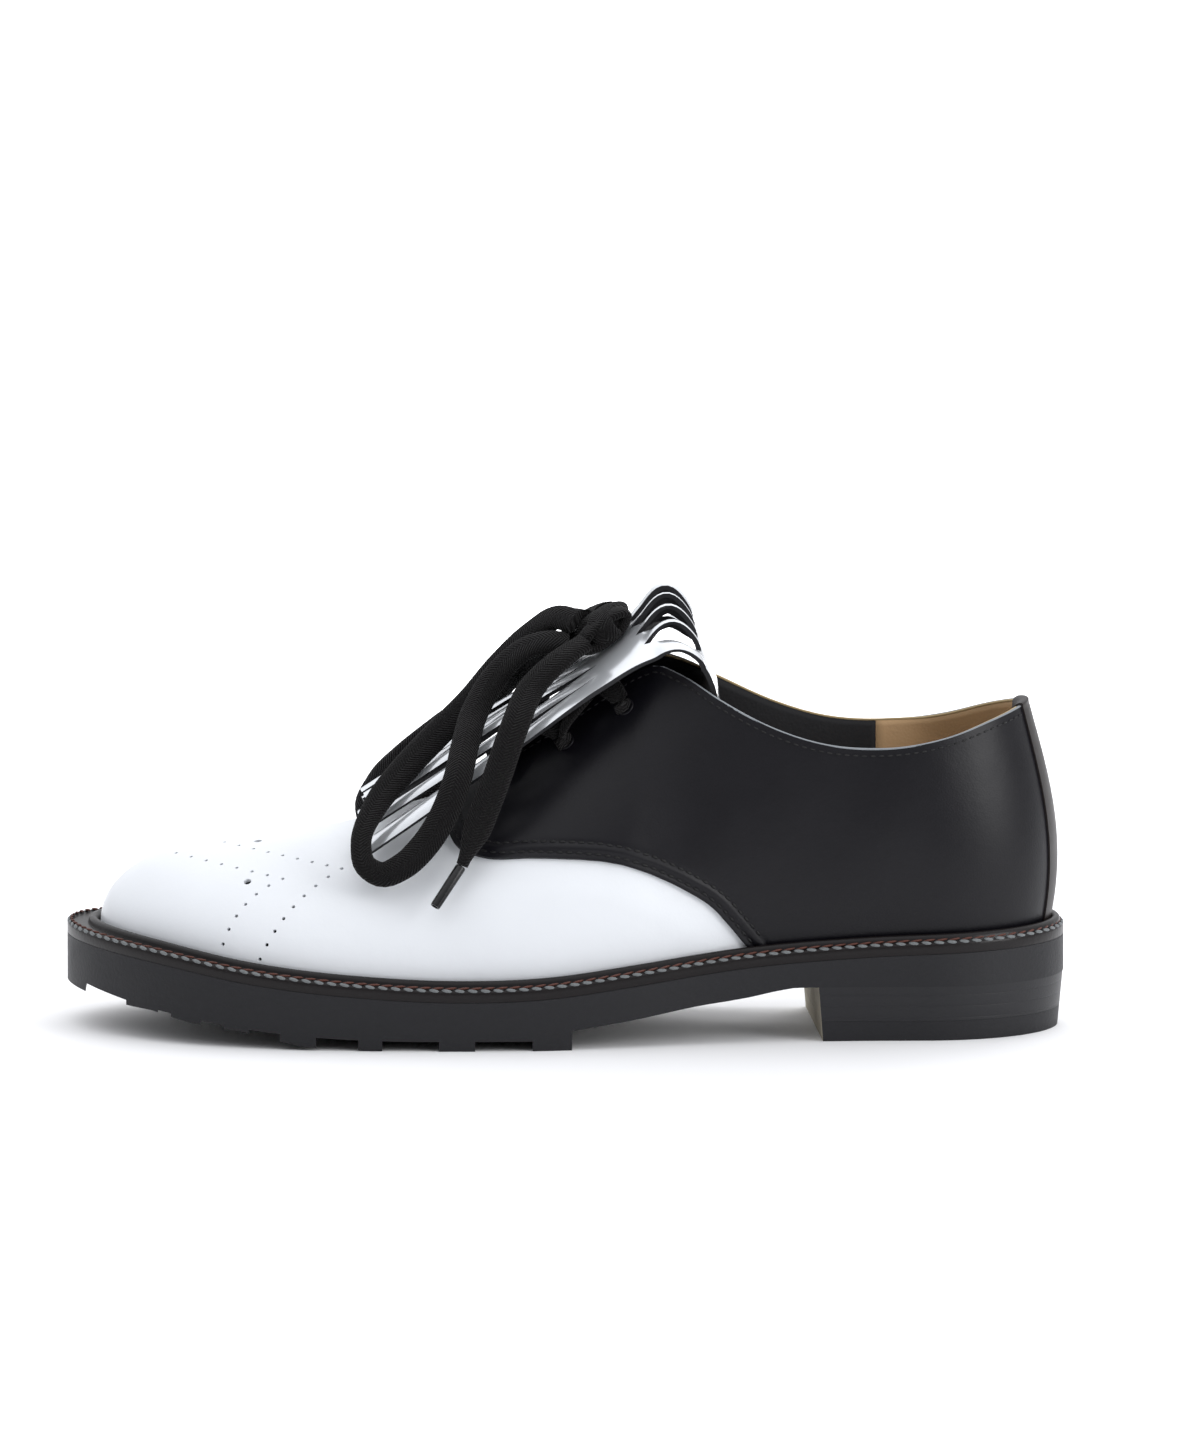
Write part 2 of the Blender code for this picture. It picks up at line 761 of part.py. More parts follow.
def main():
    """Clear the scene and make every piece."""
    for old in list(bpy.data.objects):
        bpy.data.objects.remove(old)
    make_outsole()
    make_heel()
    make_welt()
    make_insole()
    make_upper()
    make_tongue()
    make_lace_bars()
    make_bow()


main()
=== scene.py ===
"""Looks of a left lace-up dress shoe with a kiltie tongue, laid out as an add-on and run as a script.

Sizes in the tables are in millimetres and become metres where a mesh is made. +X runs from toe to
heel, -Y is the outer (lateral) side, +Z is up and the floor is z = 0.
"""

import functools
import json
import math

import bmesh
import bpy
from mathutils import Matrix, Vector
from mathutils.bvhtree import BVHTree

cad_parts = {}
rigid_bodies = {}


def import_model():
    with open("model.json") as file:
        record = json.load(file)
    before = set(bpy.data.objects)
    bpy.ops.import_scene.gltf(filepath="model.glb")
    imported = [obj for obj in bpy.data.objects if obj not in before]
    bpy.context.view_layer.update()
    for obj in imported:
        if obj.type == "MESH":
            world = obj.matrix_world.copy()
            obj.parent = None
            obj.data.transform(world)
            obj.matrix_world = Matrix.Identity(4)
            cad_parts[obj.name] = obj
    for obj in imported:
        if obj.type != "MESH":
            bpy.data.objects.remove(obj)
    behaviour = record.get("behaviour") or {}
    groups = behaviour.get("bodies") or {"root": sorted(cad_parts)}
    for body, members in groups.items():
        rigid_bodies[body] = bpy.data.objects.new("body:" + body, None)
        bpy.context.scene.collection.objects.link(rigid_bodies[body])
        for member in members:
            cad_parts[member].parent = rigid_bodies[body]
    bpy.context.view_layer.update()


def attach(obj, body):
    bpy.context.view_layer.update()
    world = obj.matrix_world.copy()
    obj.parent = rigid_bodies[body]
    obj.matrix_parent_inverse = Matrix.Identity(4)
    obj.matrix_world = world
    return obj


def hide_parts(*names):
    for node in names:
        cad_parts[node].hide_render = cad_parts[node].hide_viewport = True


bl_info = {
    "name": "Kiltie Dress Shoe Looks",
    "version": (1, 0, 0),
    "blender": (4, 5, 0),
    "location": "View3D > Sidebar > Shoe",
    "description": "Builds the leather, lace, stitches and sole finish of a dress shoe on its packed frame",
    "category": "Object",
}

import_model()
MM = 0.001
UP = Vector((0.0, 0.0, 1.0))

# Room between neighbours, and how close vertices become one
GAP = 0.3
MERGE = 0.002
STRIP_MERGE = 0.01

# Sole
SOLE_LENGTH = 275.0
TOE_ROUND = 77.5
HEEL_ROUND = 37.5
SPRING_START = -40.0
SPRING_RADIUS = 415.0
WELT_THICK = 3.4
RIB_HEIGHT = 2.0
RIB_WIDTH = 2.8
LUG_END = 2.0
SLOT_DEPTH = 2.7
SLOT_REACH = 24.0
BAR_SLOT_HALF = 17.0
CUT_CLEAR = 10.0

# Heel: hairline joints lie under and over its stack, and faces turned far enough forward are its breast
HEEL_SEAT = 15.2
HEEL_BREAST = 69.7
HEEL_BREAST_SKEW = math.tan(math.radians(4.0))
HEEL_INSET = 0.15
HEEL_TAPER = 0.038
HEEL_CENTRE = (100.0, -1.0)
HEEL_EDGE = 0.15
TOP_PIECE = 5.5
TOP_PIECE_JOINT = 0.05
SEAT_JOINT = 0.02
BREAST_FACING = -0.7

# Upper, insole and tongue
WALL = 2.0
FEATHER_LIFT = 0.35
INSOLE_CLEAR = 0.6
INSOLE_RISE = 1.5
INSOLE_EDGE = 0.4
COLLAR_BACK = 127.2
COLLAR_ROUND = 39.0
COLLAR_CORNER = 24.0
BLACK_LINING_END = 86.0
LINING_TOP = 0.995
QUARTER_THICK = 1.2
TONGUE_THICK = 1.4
EYELET_THICK = 0.2
CUT_ROUND = 0.2

# Vamp: where it ends, how far it goes under the quarters and how it sinks towards them
VAMP_END = 60.0
VAMP_UNDER = 0.10
VAMP_SINK = 1.15
VAMP_RUN_IN = 11.0
PUNCH_DEPTH = 6.0

# Backstay, with its half width as a turn
BACKSTAY_HALF = 0.185
BACKSTAY_LIFT = 0.55
BACKSTAY_THICK = 0.6
BACKSTAY_ROUND = 0.25

# Lace: spacing of its points, roundness of its section (1 for an oval) and slope of its ribs
LACE_STEP = 1.5
LACE_ROUND = 0.8
LACE_RIB_SLOPE = 0.9

# Lace between the facings; the eyelets' depth is a rise on the upper
EYELET_ROWS = (-21.0, -4.0, 10.0)
EYELET_DEPTH = 0.9
BAR_LIFT = 0.6
BAR_TUBE = 3.2
BAR_STEP = 1.2
BAR_HALF_THICK = 1.1
BAR_STAGGER = 0.5

# Aglets and knot
AGLET_TUBE = 3.3
AGLET_LENGTH = 13.4
AGLET_HOLLOW = 1.6
AGLET_LIP = 0.5
AGLET_FLAT = 0.86
KNOT_CENTRE = (9.6, -9.0, 110.9)
KNOT_TILT = math.radians(-36.0)
KNOT_ROLL = math.radians(10.0)
KNOT_CORE = (7.4, 7.0, 2.6)
KNOT_HALF_WIDTH = 3.9
KNOT_HALF_THICK = 1.5

# Camera: a long lens at the photo's angle, with the height that its frame takes in
CAMERA_AIM = (9.64, 0.0, 84.26)
CAMERA_DISTANCE = 5000.0
CAMERA_ELEVATION = math.radians(8.5)
FRAME_HEIGHT = 396.7
SENSOR = 36.0

# Studio, in metres
LIGHT_AIM = (0.0, 0.0, 0.05)
TENT_COLOUR = (0.965, 0.975, 1.0, 1.0)
FLOOR_RADIUS = 9.0


def table(columns, *rows):
    """Turn rows of numbers into one list for each named column; the first column is the key."""
    names = columns.split()
    return {name: [row[i] for row in rows] for i, name in enumerate(names)}


def read(rows, column, key):
    """Value of a column at a key, on a smooth curve through the table's rows."""
    keys = next(iter(rows.values()))
    values = rows[column]
    if key <= keys[0]:
        return values[0]
    if key >= keys[-1]:
        return values[-1]
    i = max(k for k in range(len(keys) - 1) if keys[k] <= key)
    span = keys[i + 1] - keys[i]
    t = (key - keys[i]) / span
    start = slope_at(keys, values, i) * span
    end = slope_at(keys, values, i + 1) * span
    rise = values[i + 1] - values[i]
    square = 3 * rise - 2 * start - end
    cube = start + end - 2 * rise
    return values[i] + t * start + t**2 * square + t**3 * cube


def slope_at(keys, values, i):
    """Slope of the smooth curve at row i."""
    last = len(keys) - 1
    before = (values[i] - values[i - 1]) / (keys[i] - keys[i - 1]) if i > 0 else None
    after = (values[i + 1] - values[i]) / (keys[i + 1] - keys[i]) if i < last else None
    if before is None:
        return after
    if after is None:
        return before
    left = keys[i] - keys[i - 1]
    right = keys[i + 1] - keys[i]
    return (right * before + left * after) / (left + right)


def ease(value, low, high):
    """Smooth step from 0 at low to 1 at high."""
    t = min(1.0, max(0.0, (value - low) / (high - low)))
    return t * t * (3.0 - 2.0 * t)


def bell(value, middle, spread):
    """Smooth hump of height 1 round a middle."""
    return math.exp(-(((value - middle) / spread) ** 2))


def even(first, last, count):
    """Evenly spaced values from first to last, with both of them."""
    return [first + (last - first) * i / count for i in range(count + 1)]


def find(low, high, halvings, below):
    """Value up to which a test holds between two ends, found by halving."""
    for _ in range(halvings):
        middle = (low + high) / 2
        if below(middle):
            low = middle
        else:
            high = middle
    return middle


# Plan of the sole, by place along the shoe
SOLE_PLAN = table(
    "x middle half_width",
    (-137.5, 6.0, 49.5),
    (-105.0, 2.3, 49.5),
    (-60.0, 0.2, 49.4),
    (-35.0, -1.7, 48.4),
    (-10.0, -4.9, 44.5),
    (15.0, -6.6, 38.8),
    (40.0, -5.5, 33.5),
    (60.0, -4.2, 31.2),
    (80.0, -2.5, 31.0),
    (100.0, -1.0, 32.0),
    (137.5, -0.5, 32.0),
)

# Side of the sole: top of the welt, and how far the welt stands out beyond the upper
WELT_SIDE = table(
    "x top reach",
    (-137.5, 28.0, 9.2),
    (-112.0, 25.2, 8.6),
    (-86.0, 21.1, 7.6),
    (-57.0, 18.1, 7.0),
    (-30.0, 16.8, 7.0),
    (-4.0, 17.6, 6.8),
    (20.0, 20.5, 6.4),
    (50.0, 24.3, 5.8),
    (80.0, 26.5, 5.0),
    (137.5, 28.6, 4.2),
)

# Underside of the waist, from the last lug to the heel breast
WAIST_SIDE = table(
    "x under",
    (2.0, 5.3),
    (20.0, 8.0),
    (35.0, 10.7),
    (51.0, 13.0),
    (58.0, 14.4),
    (63.0, 15.2),
)

# Slots between the lugs along both edges, from start to end along the shoe
EDGE_SLOTS = (
    (-132.0, -120.5),
    (-111.6, -108.0),
    (-99.7, -93.4),
    (-86.5, -78.0),
    (-68.0, -56.5),
    (-49.9, -34.4),
    (-24.5, -8.8),
)

# How much higher the lugs end towards the toe than the toe spring alone puts them
TREAD_LIFT = table(
    "x lift",
    (-137.5, 0.0),
    (-130.0, 0.5),
    (-119.0, 1.5),
    (-113.0, 2.1),
    (-106.0, 1.6),
    (-95.0, 1.7),
    (-88.0, 1.8),
    (-80.0, 0.7),
    (-72.0, 0.0),
)

# Cross slots in the middle of the tread: where each starts, and their width
BAR_SLOT_STARTS = (-118.0, -104.0, -90.0, -74.0, -54.0, -32.0)
BAR_SLOT_WIDTH = 5.0

# Top line of the upper: vamp crest to the throat, facing edge to its corner, then the collar
THROAT = -33.0
TOP_LINE = table(
    "x height half_gap middle",
    (-97.0, 50.3, 0.0, 3.0),
    (-79.0, 52.2, 0.0, 2.2),
    (-61.4, 55.2, 0.0, 1.4),
    (-48.0, 59.0, 0.0, 1.0),
    (-33.0, 65.6, 0.0, 0.6),
    (-20.0, 72.8, 5.5, 0.3),
    (-4.0, 82.8, 8.0, 0.0),
    (12.0, 94.0, 10.5, 0.0),
    (20.0, 99.4, 12.0, 0.0),
    (25.0, 101.4, 14.0, 0.0),
    (31.0, 99.6, 17.0, 0.0),
    (43.0, 92.8, 23.5, 0.0),
    (57.0, 85.8, 26.3, 0.0),
    (71.0, 81.4, 27.2, 0.0),
    (86.0, 80.2, 27.2, 0.0),
    (106.0, 83.0, 27.0, -0.3),
    (118.0, 86.9, 26.5, -0.5),
    (127.2, 89.8, 26.0, -0.5),
)

# Sections of the upper, by place along the sole: where each meets the top line and how it bends
SECTIONS = table(
    "x top_x foot_lean foot_pull top_angle top_pull",
    (-137.5, -97.0, 0.0, 0.55, 0.0, 0.55),
    (-115.0, -88.0, 2.0, 0.55, 0.0, 0.56),
    (-90.0, -73.5, 5.0, 0.52, 0.0, 0.60),
    (-60.0, -52.5, 7.0, 0.50, 1.0, 0.60),
    (-38.0, -35.0, 8.0, 0.48, 8.0, 0.56),
    (-20.0, -16.0, 9.0, 0.45, 26.0, 0.48),
    (0.0, 6.0, 9.0, 0.42, 44.0, 0.42),
    (15.0, 24.0, 9.0, 0.40, 58.0, 0.40),
    (30.0, 38.5, 8.0, 0.38, 67.0, 0.38),
    (55.0, 59.5, 8.0, 0.36, 72.0, 0.36),
    (90.0, 90.0, 9.0, 0.36, 76.0, 0.36),
    (120.0, 114.5, 11.0, 0.38, 76.0, 0.36),
    (137.5, 127.2, 12.0, 0.40, 75.0, 0.35),
)

# Curved front edge of the quarters, from the feather line up to the throat
QUARTER_EDGE = (
    (51.0, 24.0),
    (48.8, 27.4),
    (44.6, 32.6),
    (40.8, 36.9),
    (32.8, 42.4),
    (24.5, 46.7),
    (16.0, 49.8),
    (4.7, 51.4),
    (-9.4, 51.8),
    (-22.0, 51.6),
    (-29.0, 53.4),
    (-32.4, 57.6),
    (-33.4, 61.6),
    (-33.0, 65.6),
)

# Medallion: two pointed rows of small holes in the vamp, seen from the side, with their hole counts
MEDALLION_ROWS = table(
    "row start_x start_up apex_x apex_up end_x end_up upper lower",
    (0, -107.2, 46.7, -77.4, 39.8, -93.7, 21.9, 8, 6),
    (1, -93.9, 49.7, -61.2, 42.6, -83.5, 17.8, 9, 8),
)
MEDALLION_LARGE = ((-87.1, 39.0), (-84.6, 50.0))

# Tongue along its middle: up inside the facings, over the top and forward as the kiltie
TONGUE_PATH = table(
    "step x z half drop sweep",
    (0, -42.0, 57.2, 11.0, 2.0, 0.0),
    (1, -26.0, 64.6, 13.0, 4.0, 0.0),
    (2, -8.0, 74.0, 15.0, 6.0, 0.0),
    (3, 10.0, 82.4, 16.6, 8.0, 0.0),
    (4, 26.0, 87.4, 17.2, 9.0, 0.0),
    (5, 36.0, 89.0, 17.6, 9.0, 0.0),
    (6, 41.2, 93.0, 17.8, 9.0, 0.5),
    (7, 39.6, 100.0, 18.0, 9.4, 2.0),
    (8, 36.6, 108.2, 19.6, 10.0, 3.2),
    (9, 32.6, 116.4, 24.4, 12.6, 3.4),
    (10, 27.8, 120.4, 26.6, 13.8, 3.0),
    (11, 21.4, 115.0, 27.2, 10.6, 1.6),
    (12, 10.0, 105.3, 27.6, 8.2, 0.4),
    (13, -5.0, 95.5, 28.2, 9.0, 0.0),
    (14, -22.0, 84.6, 29.0, 10.4, 0.0),
    (15, -40.0, 72.9, 29.5, 11.4, 0.0),
    (16, -56.0, 62.5, 30.0, 12.0, 0.0),
)

# Slits of the kiltie, by place along it: pointed openings through the fold, then the long cuts of the fringe
FOLD_SLIT = (0.500, 0.606)
FOLD_SLIT_DRAW = 0.035
FOLD_GAP = 3.6
FOLD_TWIST = 0.42
FOIL_START = 0.40
FRINGE_SLITS = table(
    "along gap",
    (0.655, 0.0),
    (0.680, 0.6),
    (0.730, 1.9),
    (0.880, 2.4),
    (1.000, 2.7),
)

# Routes of the bow from the knot, point by point: each loop comes back to the knot
LOOP_ROUTES = {
    "lace_loop_lateral": (
        (2.9, -8.4, 112.9),
        (-2.2, -5.2, 113.6),
        (-9.2, -1.6, 108.6),
        (-17.4, -0.5, 100.2),
        (-26.2, -4.0, 90.0),
        (-35.3, -10.0, 81.6),
        (-44.4, -18.5, 73.0),
        (-52.2, -27.0, 64.0),
        (-55.8, -34.8, 55.0),
        (-54.6, -38.2, 49.8),
        (-50.2, -39.6, 47.4),
        (-44.2, -39.6, 49.8),
        (-38.8, -38.6, 54.8),
        (-33.9, -37.2, 62.0),
        (-29.6, -34.0, 72.4),
        (-27.2, -25.0, 81.6),
        (-24.5, -15.0, 89.2),
        (-18.7, -9.5, 98.2),
        (-10.4, -10.6, 105.8),
        (-4.6, -11.4, 107.6),
        (1.0, -11.2, 107.1),
    ),
    "lace_loop_medial": (
        (4.8, -2.6, 113.3),
        (-0.6, 3.2, 113.0),
        (-8.8, 7.4, 106.6),
        (-17.4, 11.0, 97.0),
        (-26.2, 15.0, 86.6),
        (-35.3, 20.0, 78.6),
        (-44.4, 25.0, 70.6),
        (-52.0, 32.0, 62.4),
        (-55.6, 36.0, 54.6),
        (-53.8, 38.6, 49.6),
        (-48.4, 39.0, 48.2),
        (-42.2, 38.4, 51.8),
        (-37.0, 37.0, 58.0),
        (-32.0, 36.5, 66.0),
        (-27.2, 34.5, 75.0),
        (-21.8, 28.5, 84.2),
        (-16.0, 21.0, 92.6),
        (-9.2, 16.0, 98.8),
        (-3.2, 7.0, 103.6),
        (2.0, -3.4, 107.0),
    ),
}
TAIL_ROUTES = {
    "lateral": (
        (5.6, -17.6, 108.4),
        (-0.6, -20.4, 104.6),
        (-8.7, -22.5, 97.0),
        (-13.8, -30.5, 86.8),
        (-18.4, -35.0, 74.0),
        (-23.4, -37.6, 61.0),
        (-28.1, -40.6, 50.2),
    ),
    "medial": (
        (11.2, -0.6, 115.0),
        (8.4, 10.6, 112.6),
        (2.4, 21.4, 104.8),
        (-4.6, 28.0, 95.4),
        (-8.6, 33.5, 85.0),
        (-12.4, 36.6, 73.0),
        (-16.0, 39.0, 61.0),
        (-20.4, 41.0, 50.0),
    ),
}

# Directions in which the aglets point from the ends of the tails
AGLET_WAYS = {
    "lateral": (-8.0, -5.6, -11.6),
    "medial": (-5.4, 3.0, -11.0),
}

# Turns of the knot: shift across the shoe, yaw in degrees, half length and half height
KNOT_TURNS = (
    (-3.4, 12.0, 7.6, 2.5),
    (3.6, -15.0, 7.2, 2.2),
    (-2.2, 78.0, 6.6, 3.2),
)

# Shallow troughs that lasting pulls into the quarters: place, height, spread along and up, and depth
LASTING_TROUGHS = (
    (30.0, 66.0, 9.0, 18.0, 0.35),
    (74.0, 58.0, 13.0, 20.0, 0.30),
)
LASTING_LEAN = 0.55
LASTING_LEVEL = 60.0

# Front seam of the quarters: distances of its stitch rows from the edge, and the leather pressed by them
EDGE_STITCHES = (1.7, 4.8)
GROOVE_DEPTH = 0.22
GROOVE_SPREAD = 0.6
RIDGE_HEIGHT = 0.28
RIDGE_SPREAD = 1.0

# Stitches as length, width and height, and the rows below the top line and along the facings
STITCH_LIFT = 0.08
EDGE_STITCH = (1.9, 0.75, 0.55)
TOP_STITCH = (1.75, 0.55, 0.45)
TOP_PITCH = 2.35
TOP_ROW = 1.9
FACING_ROW = 2.2
FACING_START = -26.0

# Rows along the welt: their place, lean and slant, and their stitches, with length as a share of the pitch
WELT_DASHES = dict(distance=0.42, lift=-0.12, lean=50.0, slant=-9.0, length=0.86, width=1.1, height=0.8)
WELT_THREAD = dict(distance=1.15, lift=0.45, lean=40.0, slant=10.0, length=1.08, width=0.65, height=0.8)

# Strips of the kiltie: how their slits end, how they bow and curl, and how unevenly they are cut off
FOLD_SLIT_POINT = 0.8
STRIP_CROWN = 0.28
FRINGE_CURL = 0.30
FRINGE_UNEVEN = 0.008

# Sag of the medallion's lower rows between their ends
MEDALLION_BOW = (-2.0, 2.0)

# Top of the backstay folding over the collar: distance out of the upper, and height above its edge
BACKSTAY_FOLD = ((0.55, 0.4), (0.2, 0.9), (-0.8, 1.1), (-1.9, 0.9), (-2.5, 0.2), (-2.6, -2.0), (-2.6, -5.0))

# Rolled rim of an eyelet: radius, and height above the leather
EYELET_RIM = ((2.6, 0.0), (2.5, 0.25), (2.2, 0.36), (1.9, 0.22), (1.75, -0.3), (0.0, -0.5))


# Shape of the shoe


def toe_spring(x):
    """Height of the forefoot's tread above the floor."""
    ahead = min(0.0, x - SPRING_START)
    return SPRING_RADIUS - math.sqrt(SPRING_RADIUS**2 - ahead**2)


def tread(x):
    """Height of the lugs' ends above the floor."""
    return toe_spring(x) + read(TREAD_LIFT, "lift", x)


def slot_floor(x):
    """Floor of the slots between the lugs."""
    return toe_spring(x) + SLOT_DEPTH


def round_end(x):
    """How far the outline has opened out of the round toe and heel, from 0 to 1."""
    share = 1.0
    for reach, radius in ((x + SOLE_LENGTH / 2, TOE_ROUND), (SOLE_LENGTH / 2 - x, HEEL_ROUND)):
        left = 1.0 - min(1.0, reach / radius)
        share *= math.sqrt(max(0.0, 1.0 - left**2))
    return share


def side_of(turn):
    """-1 on the lateral side of the outline, 1 on the medial side."""
    return -1.0 if math.sin(turn) >= 0.0 else 1.0


def outline(turn):
    """Sole outline: turn 0 at the toe, pi at the heel, lateral side first."""
    x = -SOLE_LENGTH / 2 * math.cos(turn)
    half = read(SOLE_PLAN, "half_width", x) * round_end(x)
    return Vector((x, read(SOLE_PLAN, "middle", x) + side_of(turn) * half, 0.0))


def turn_at(x):
    """Turn of the outline's lateral point at a place along the shoe."""
    return math.acos(min(1.0, max(-1.0, -x / (SOLE_LENGTH / 2))))


def outward(turn):
    """Level direction out of the sole's outline."""
    step = 0.02
    along = outline(turn + step) - outline(turn - step)
    return Vector((along.y, -along.x, 0.0)).normalized()


def inset(turn, distance):
    """Point a distance inside the sole's outline."""
    return outline(turn) - outward(turn) * distance


def welt_top(x):
    """Height of the welt's flat top."""
    return read(WELT_SIDE, "top", x)


def welt_joint(x):
    """Height of the joint between outsole and welt."""
    return welt_top(x) - WELT_THICK


def welt_reach(turn):
    """How far the welt stands out beyond the upper."""
    return read(WELT_SIDE, "reach", outline(turn).x)


def upper_top(turn):
    """Top end of the section that starts at this turn."""
    x = read(SECTIONS, "top_x", outline(turn).x)
    back = max(0.0, x - (COLLAR_BACK - COLLAR_ROUND)) / COLLAR_ROUND
    gap = read(TOP_LINE, "half_gap", x) if x > THROAT else 0.0
    y = read(TOP_LINE, "middle", x) + side_of(turn) * gap * math.sqrt(max(0.0, 1.0 - back**2))
    return Vector((x, y, read(TOP_LINE, "height", x)))


@functools.cache
def section(turn):
    """Foot, lower pull, upper pull and top of the upper's section at this turn."""
    station = outline(turn).x
    foot = inset(turn, welt_reach(turn))
    foot.z = welt_top(foot.x) + FEATHER_LIFT
    top = upper_top(turn)
    height = top.z - foot.z
    lean = math.radians(read(SECTIONS, "foot_lean", station))
    angle = math.radians(read(SECTIONS, "top_angle", station))
    away = Vector((foot.x - top.x, foot.y - top.y, 0.0))
    reach = away.length
    away.normalize()
    crest_slope = read(TOP_LINE, "height", top.x + 1.0) - read(TOP_LINE, "height", top.x)
    level = away + UP * (crest_slope * math.cos(angle) ** 4 * away.x)
    span = reach * math.cos(angle) + height * math.sin(angle)
    foot_way = UP * math.cos(lean) + outward(turn) * math.sin(lean)
    top_way = level * math.cos(angle) - UP * math.sin(angle)
    low = foot + foot_way * (height * read(SECTIONS, "foot_pull", station))
    high = top + top_way * (span * read(SECTIONS, "top_pull", station))
    return foot, low, high, top


def upper_point(turn, rise):
    """Outer face of the upper; rise runs from 0 at the feather line to 1 at the top line."""
    foot, low, high, top = section(turn)
    rest = 1.0 - rise
    return rest**3 * foot + 3 * rest**2 * rise * low + 3 * rest * rise**2 * high + rise**3 * top


def upper_normal(turn, rise):
    """Direction out of the upper's outer face."""
    step = 0.01
    along = upper_point(turn + step, rise) - upper_point(turn - step, rise)
    up = upper_point(turn, min(1.0, rise + step)) - upper_point(turn, max(0.0, rise - step))
    return along.cross(up).normalized()


def on_upper(turn, rise, offset):
    """Point a distance outside the upper's face."""
    return upper_point(turn, rise) + upper_normal(turn, rise) * offset


def top_turn(x):
    """Turn of the section that meets the top line at this place."""
    return find(0.0, math.pi, 40, lambda turn: read(SECTIONS, "top_x", outline(turn).x) < x)


def seen_height(point):
    """Height of a point in the photo's view, in millimetres."""
    return point.z * math.cos(CAMERA_ELEVATION) + point.y * math.sin(CAMERA_ELEVATION)


def find_on_upper(x, height, side, measure):
    """Turn and rise of the upper's point at a place along the shoe and a measured height."""
    station = x
    for _ in range(10):
        turn = side * turn_at(station)
        rise = find(0.0, 1.0, 22, lambda share: measure(upper_point(turn, share)) < height)
        station += x - upper_point(turn, rise).x
    return turn, rise


def along_path(points):
    """Distance from the first point to each point of a path."""
    distances = [0.0]
    for before, after in zip(points, points[1:]):
        distances.append(distances[-1] + math.dist(before, after))
    return distances


@functools.cache
def quarter_edge(side):
    """Table of the quarter's front edge by its own length, from 0 at the feather line to 1 at the throat."""
    places = [find_on_upper(x, z, side, lambda point: point.z) for x, z in QUARTER_EDGE]
    lengths = along_path([upper_point(*place) for place in places])
    rows = [(s / lengths[-1], turn, rise) for s, (turn, rise) in zip(lengths, places)]
    return table("along turn rise", *rows)


def edge_place(side, along):
    """Turn and rise on the quarter's front edge."""
    rows = quarter_edge(side)
    return read(rows, "turn", along), min(1.0, max(0.0, read(rows, "rise", along)))


@functools.cache
def edge_by_turn(side):
    """Table of the quarter's front edge by turn, from the throat to the feather line."""
    least_step = 0.002
    rows = []
    for along in even(1.0, 0.0, 60):
        turn, rise = edge_place(side, along)
        if not rows or abs(turn) > rows[-1][0] + least_step:
            rows.append((abs(turn), rise))
    return table("turn rise", *rows)


@functools.cache
def edge_points(side):
    """Points along a quarter's front edge, for measuring distances to it."""
    return [upper_point(*edge_place(side, along)) for along in even(0.0, 1.0, 120)]


def edge_distance(side, point):
    """Distance from a point to a quarter's front edge."""
    return min((point - other).length for other in edge_points(side))


@functools.cache
def tongue_strip():
    """The tongue's table by distance along its middle, and its whole length."""
    lengths = along_path(list(zip(TONGUE_PATH["x"], TONGUE_PATH["z"])))
    return dict(TONGUE_PATH, step=lengths), lengths[-1]


def tongue_point(along, across):
    """Middle of the tongue's leather: along is 0 inside and 1 at the tip, across is -1 to 1."""
    strip, length = tongue_strip()
    place = along * length
    x = read(strip, "x", place) + read(strip, "sweep", place) * across**2
    z = read(strip, "z", place) - read(strip, "drop", place) * across**2
    return Vector((x, across * read(strip, "half", place), z))


def tongue_normal(along, across):
    """Direction out of the tongue's outer face."""
    step = 0.004
    ahead = tongue_point(min(1.0, along + step), across) - tongue_point(max(0.0, along - step), across)
    aside = tongue_point(along, across + step) - tongue_point(along, across - step)
    return aside.cross(ahead).normalized()


def slit_gap(along, across):
    """Width of the slit at a place along the kiltie and across it."""
    start, end = FOLD_SLIT
    end -= FOLD_SLIT_DRAW * across**2
    share = (along - start) / (end - start)
    if 0.0 < share < 1.0:
        return FOLD_GAP * math.sin(math.pi * share) ** FOLD_SLIT_POINT
    return read(FRINGE_SLITS, "gap", along)


def smooth_points(route, spacing):
    """Evenly spaced points of the smooth curve through a route."""
    lengths = along_path(route)
    rows = table("along x y z", *[(s, *point) for s, point in zip(lengths, route)])
    stops = even(0.0, lengths[-1], round(lengths[-1] / spacing))
    return [Vector([read(rows, axis, stop) for axis in "xyz"]) for stop in stops]


# Mesh making


def add_grid(mesh, columns, rows, place, spread=None):
    """Add a grid placed, in millimetres, by column and row, with its own UV; returns its vertices' spots."""
    layer = mesh.loops.layers.uv.verify()
    made = bmesh.ops.create_grid(mesh, x_segments=columns, y_segments=rows, size=0.5)
    spots = {}
    for vertex in made["verts"]:
        spot = (round((vertex.co.x + 0.5) * columns), round((vertex.co.y + 0.5) * rows))
        spots[vertex] = spot
        vertex.co = place(*spot) * MM
    for vertex, spot in spots.items():
        for loop in vertex.link_loops:
            loop[layer].uv = spread(*spot) if spread else spot
    return spots


def weld(mesh, distance=MERGE):
    """Merge the vertices of a mesh that lie together."""
    bmesh.ops.remove_doubles(mesh, verts=mesh.verts, dist=distance * MM)


def close(mesh):
    """Merge the seams of a mesh and point its faces outward."""
    weld(mesh)
    bmesh.ops.dissolve_degenerate(mesh, edges=mesh.edges, dist=MERGE * MM)
    bmesh.ops.recalc_face_normals(mesh, faces=mesh.faces)


def cap(mesh, sides):
    """Fill the openings of a mesh that have up to a number of sides, or every one for 0."""
    bmesh.ops.holes_fill(mesh, edges=[edge for edge in mesh.edges if edge.is_boundary], sides=sides)


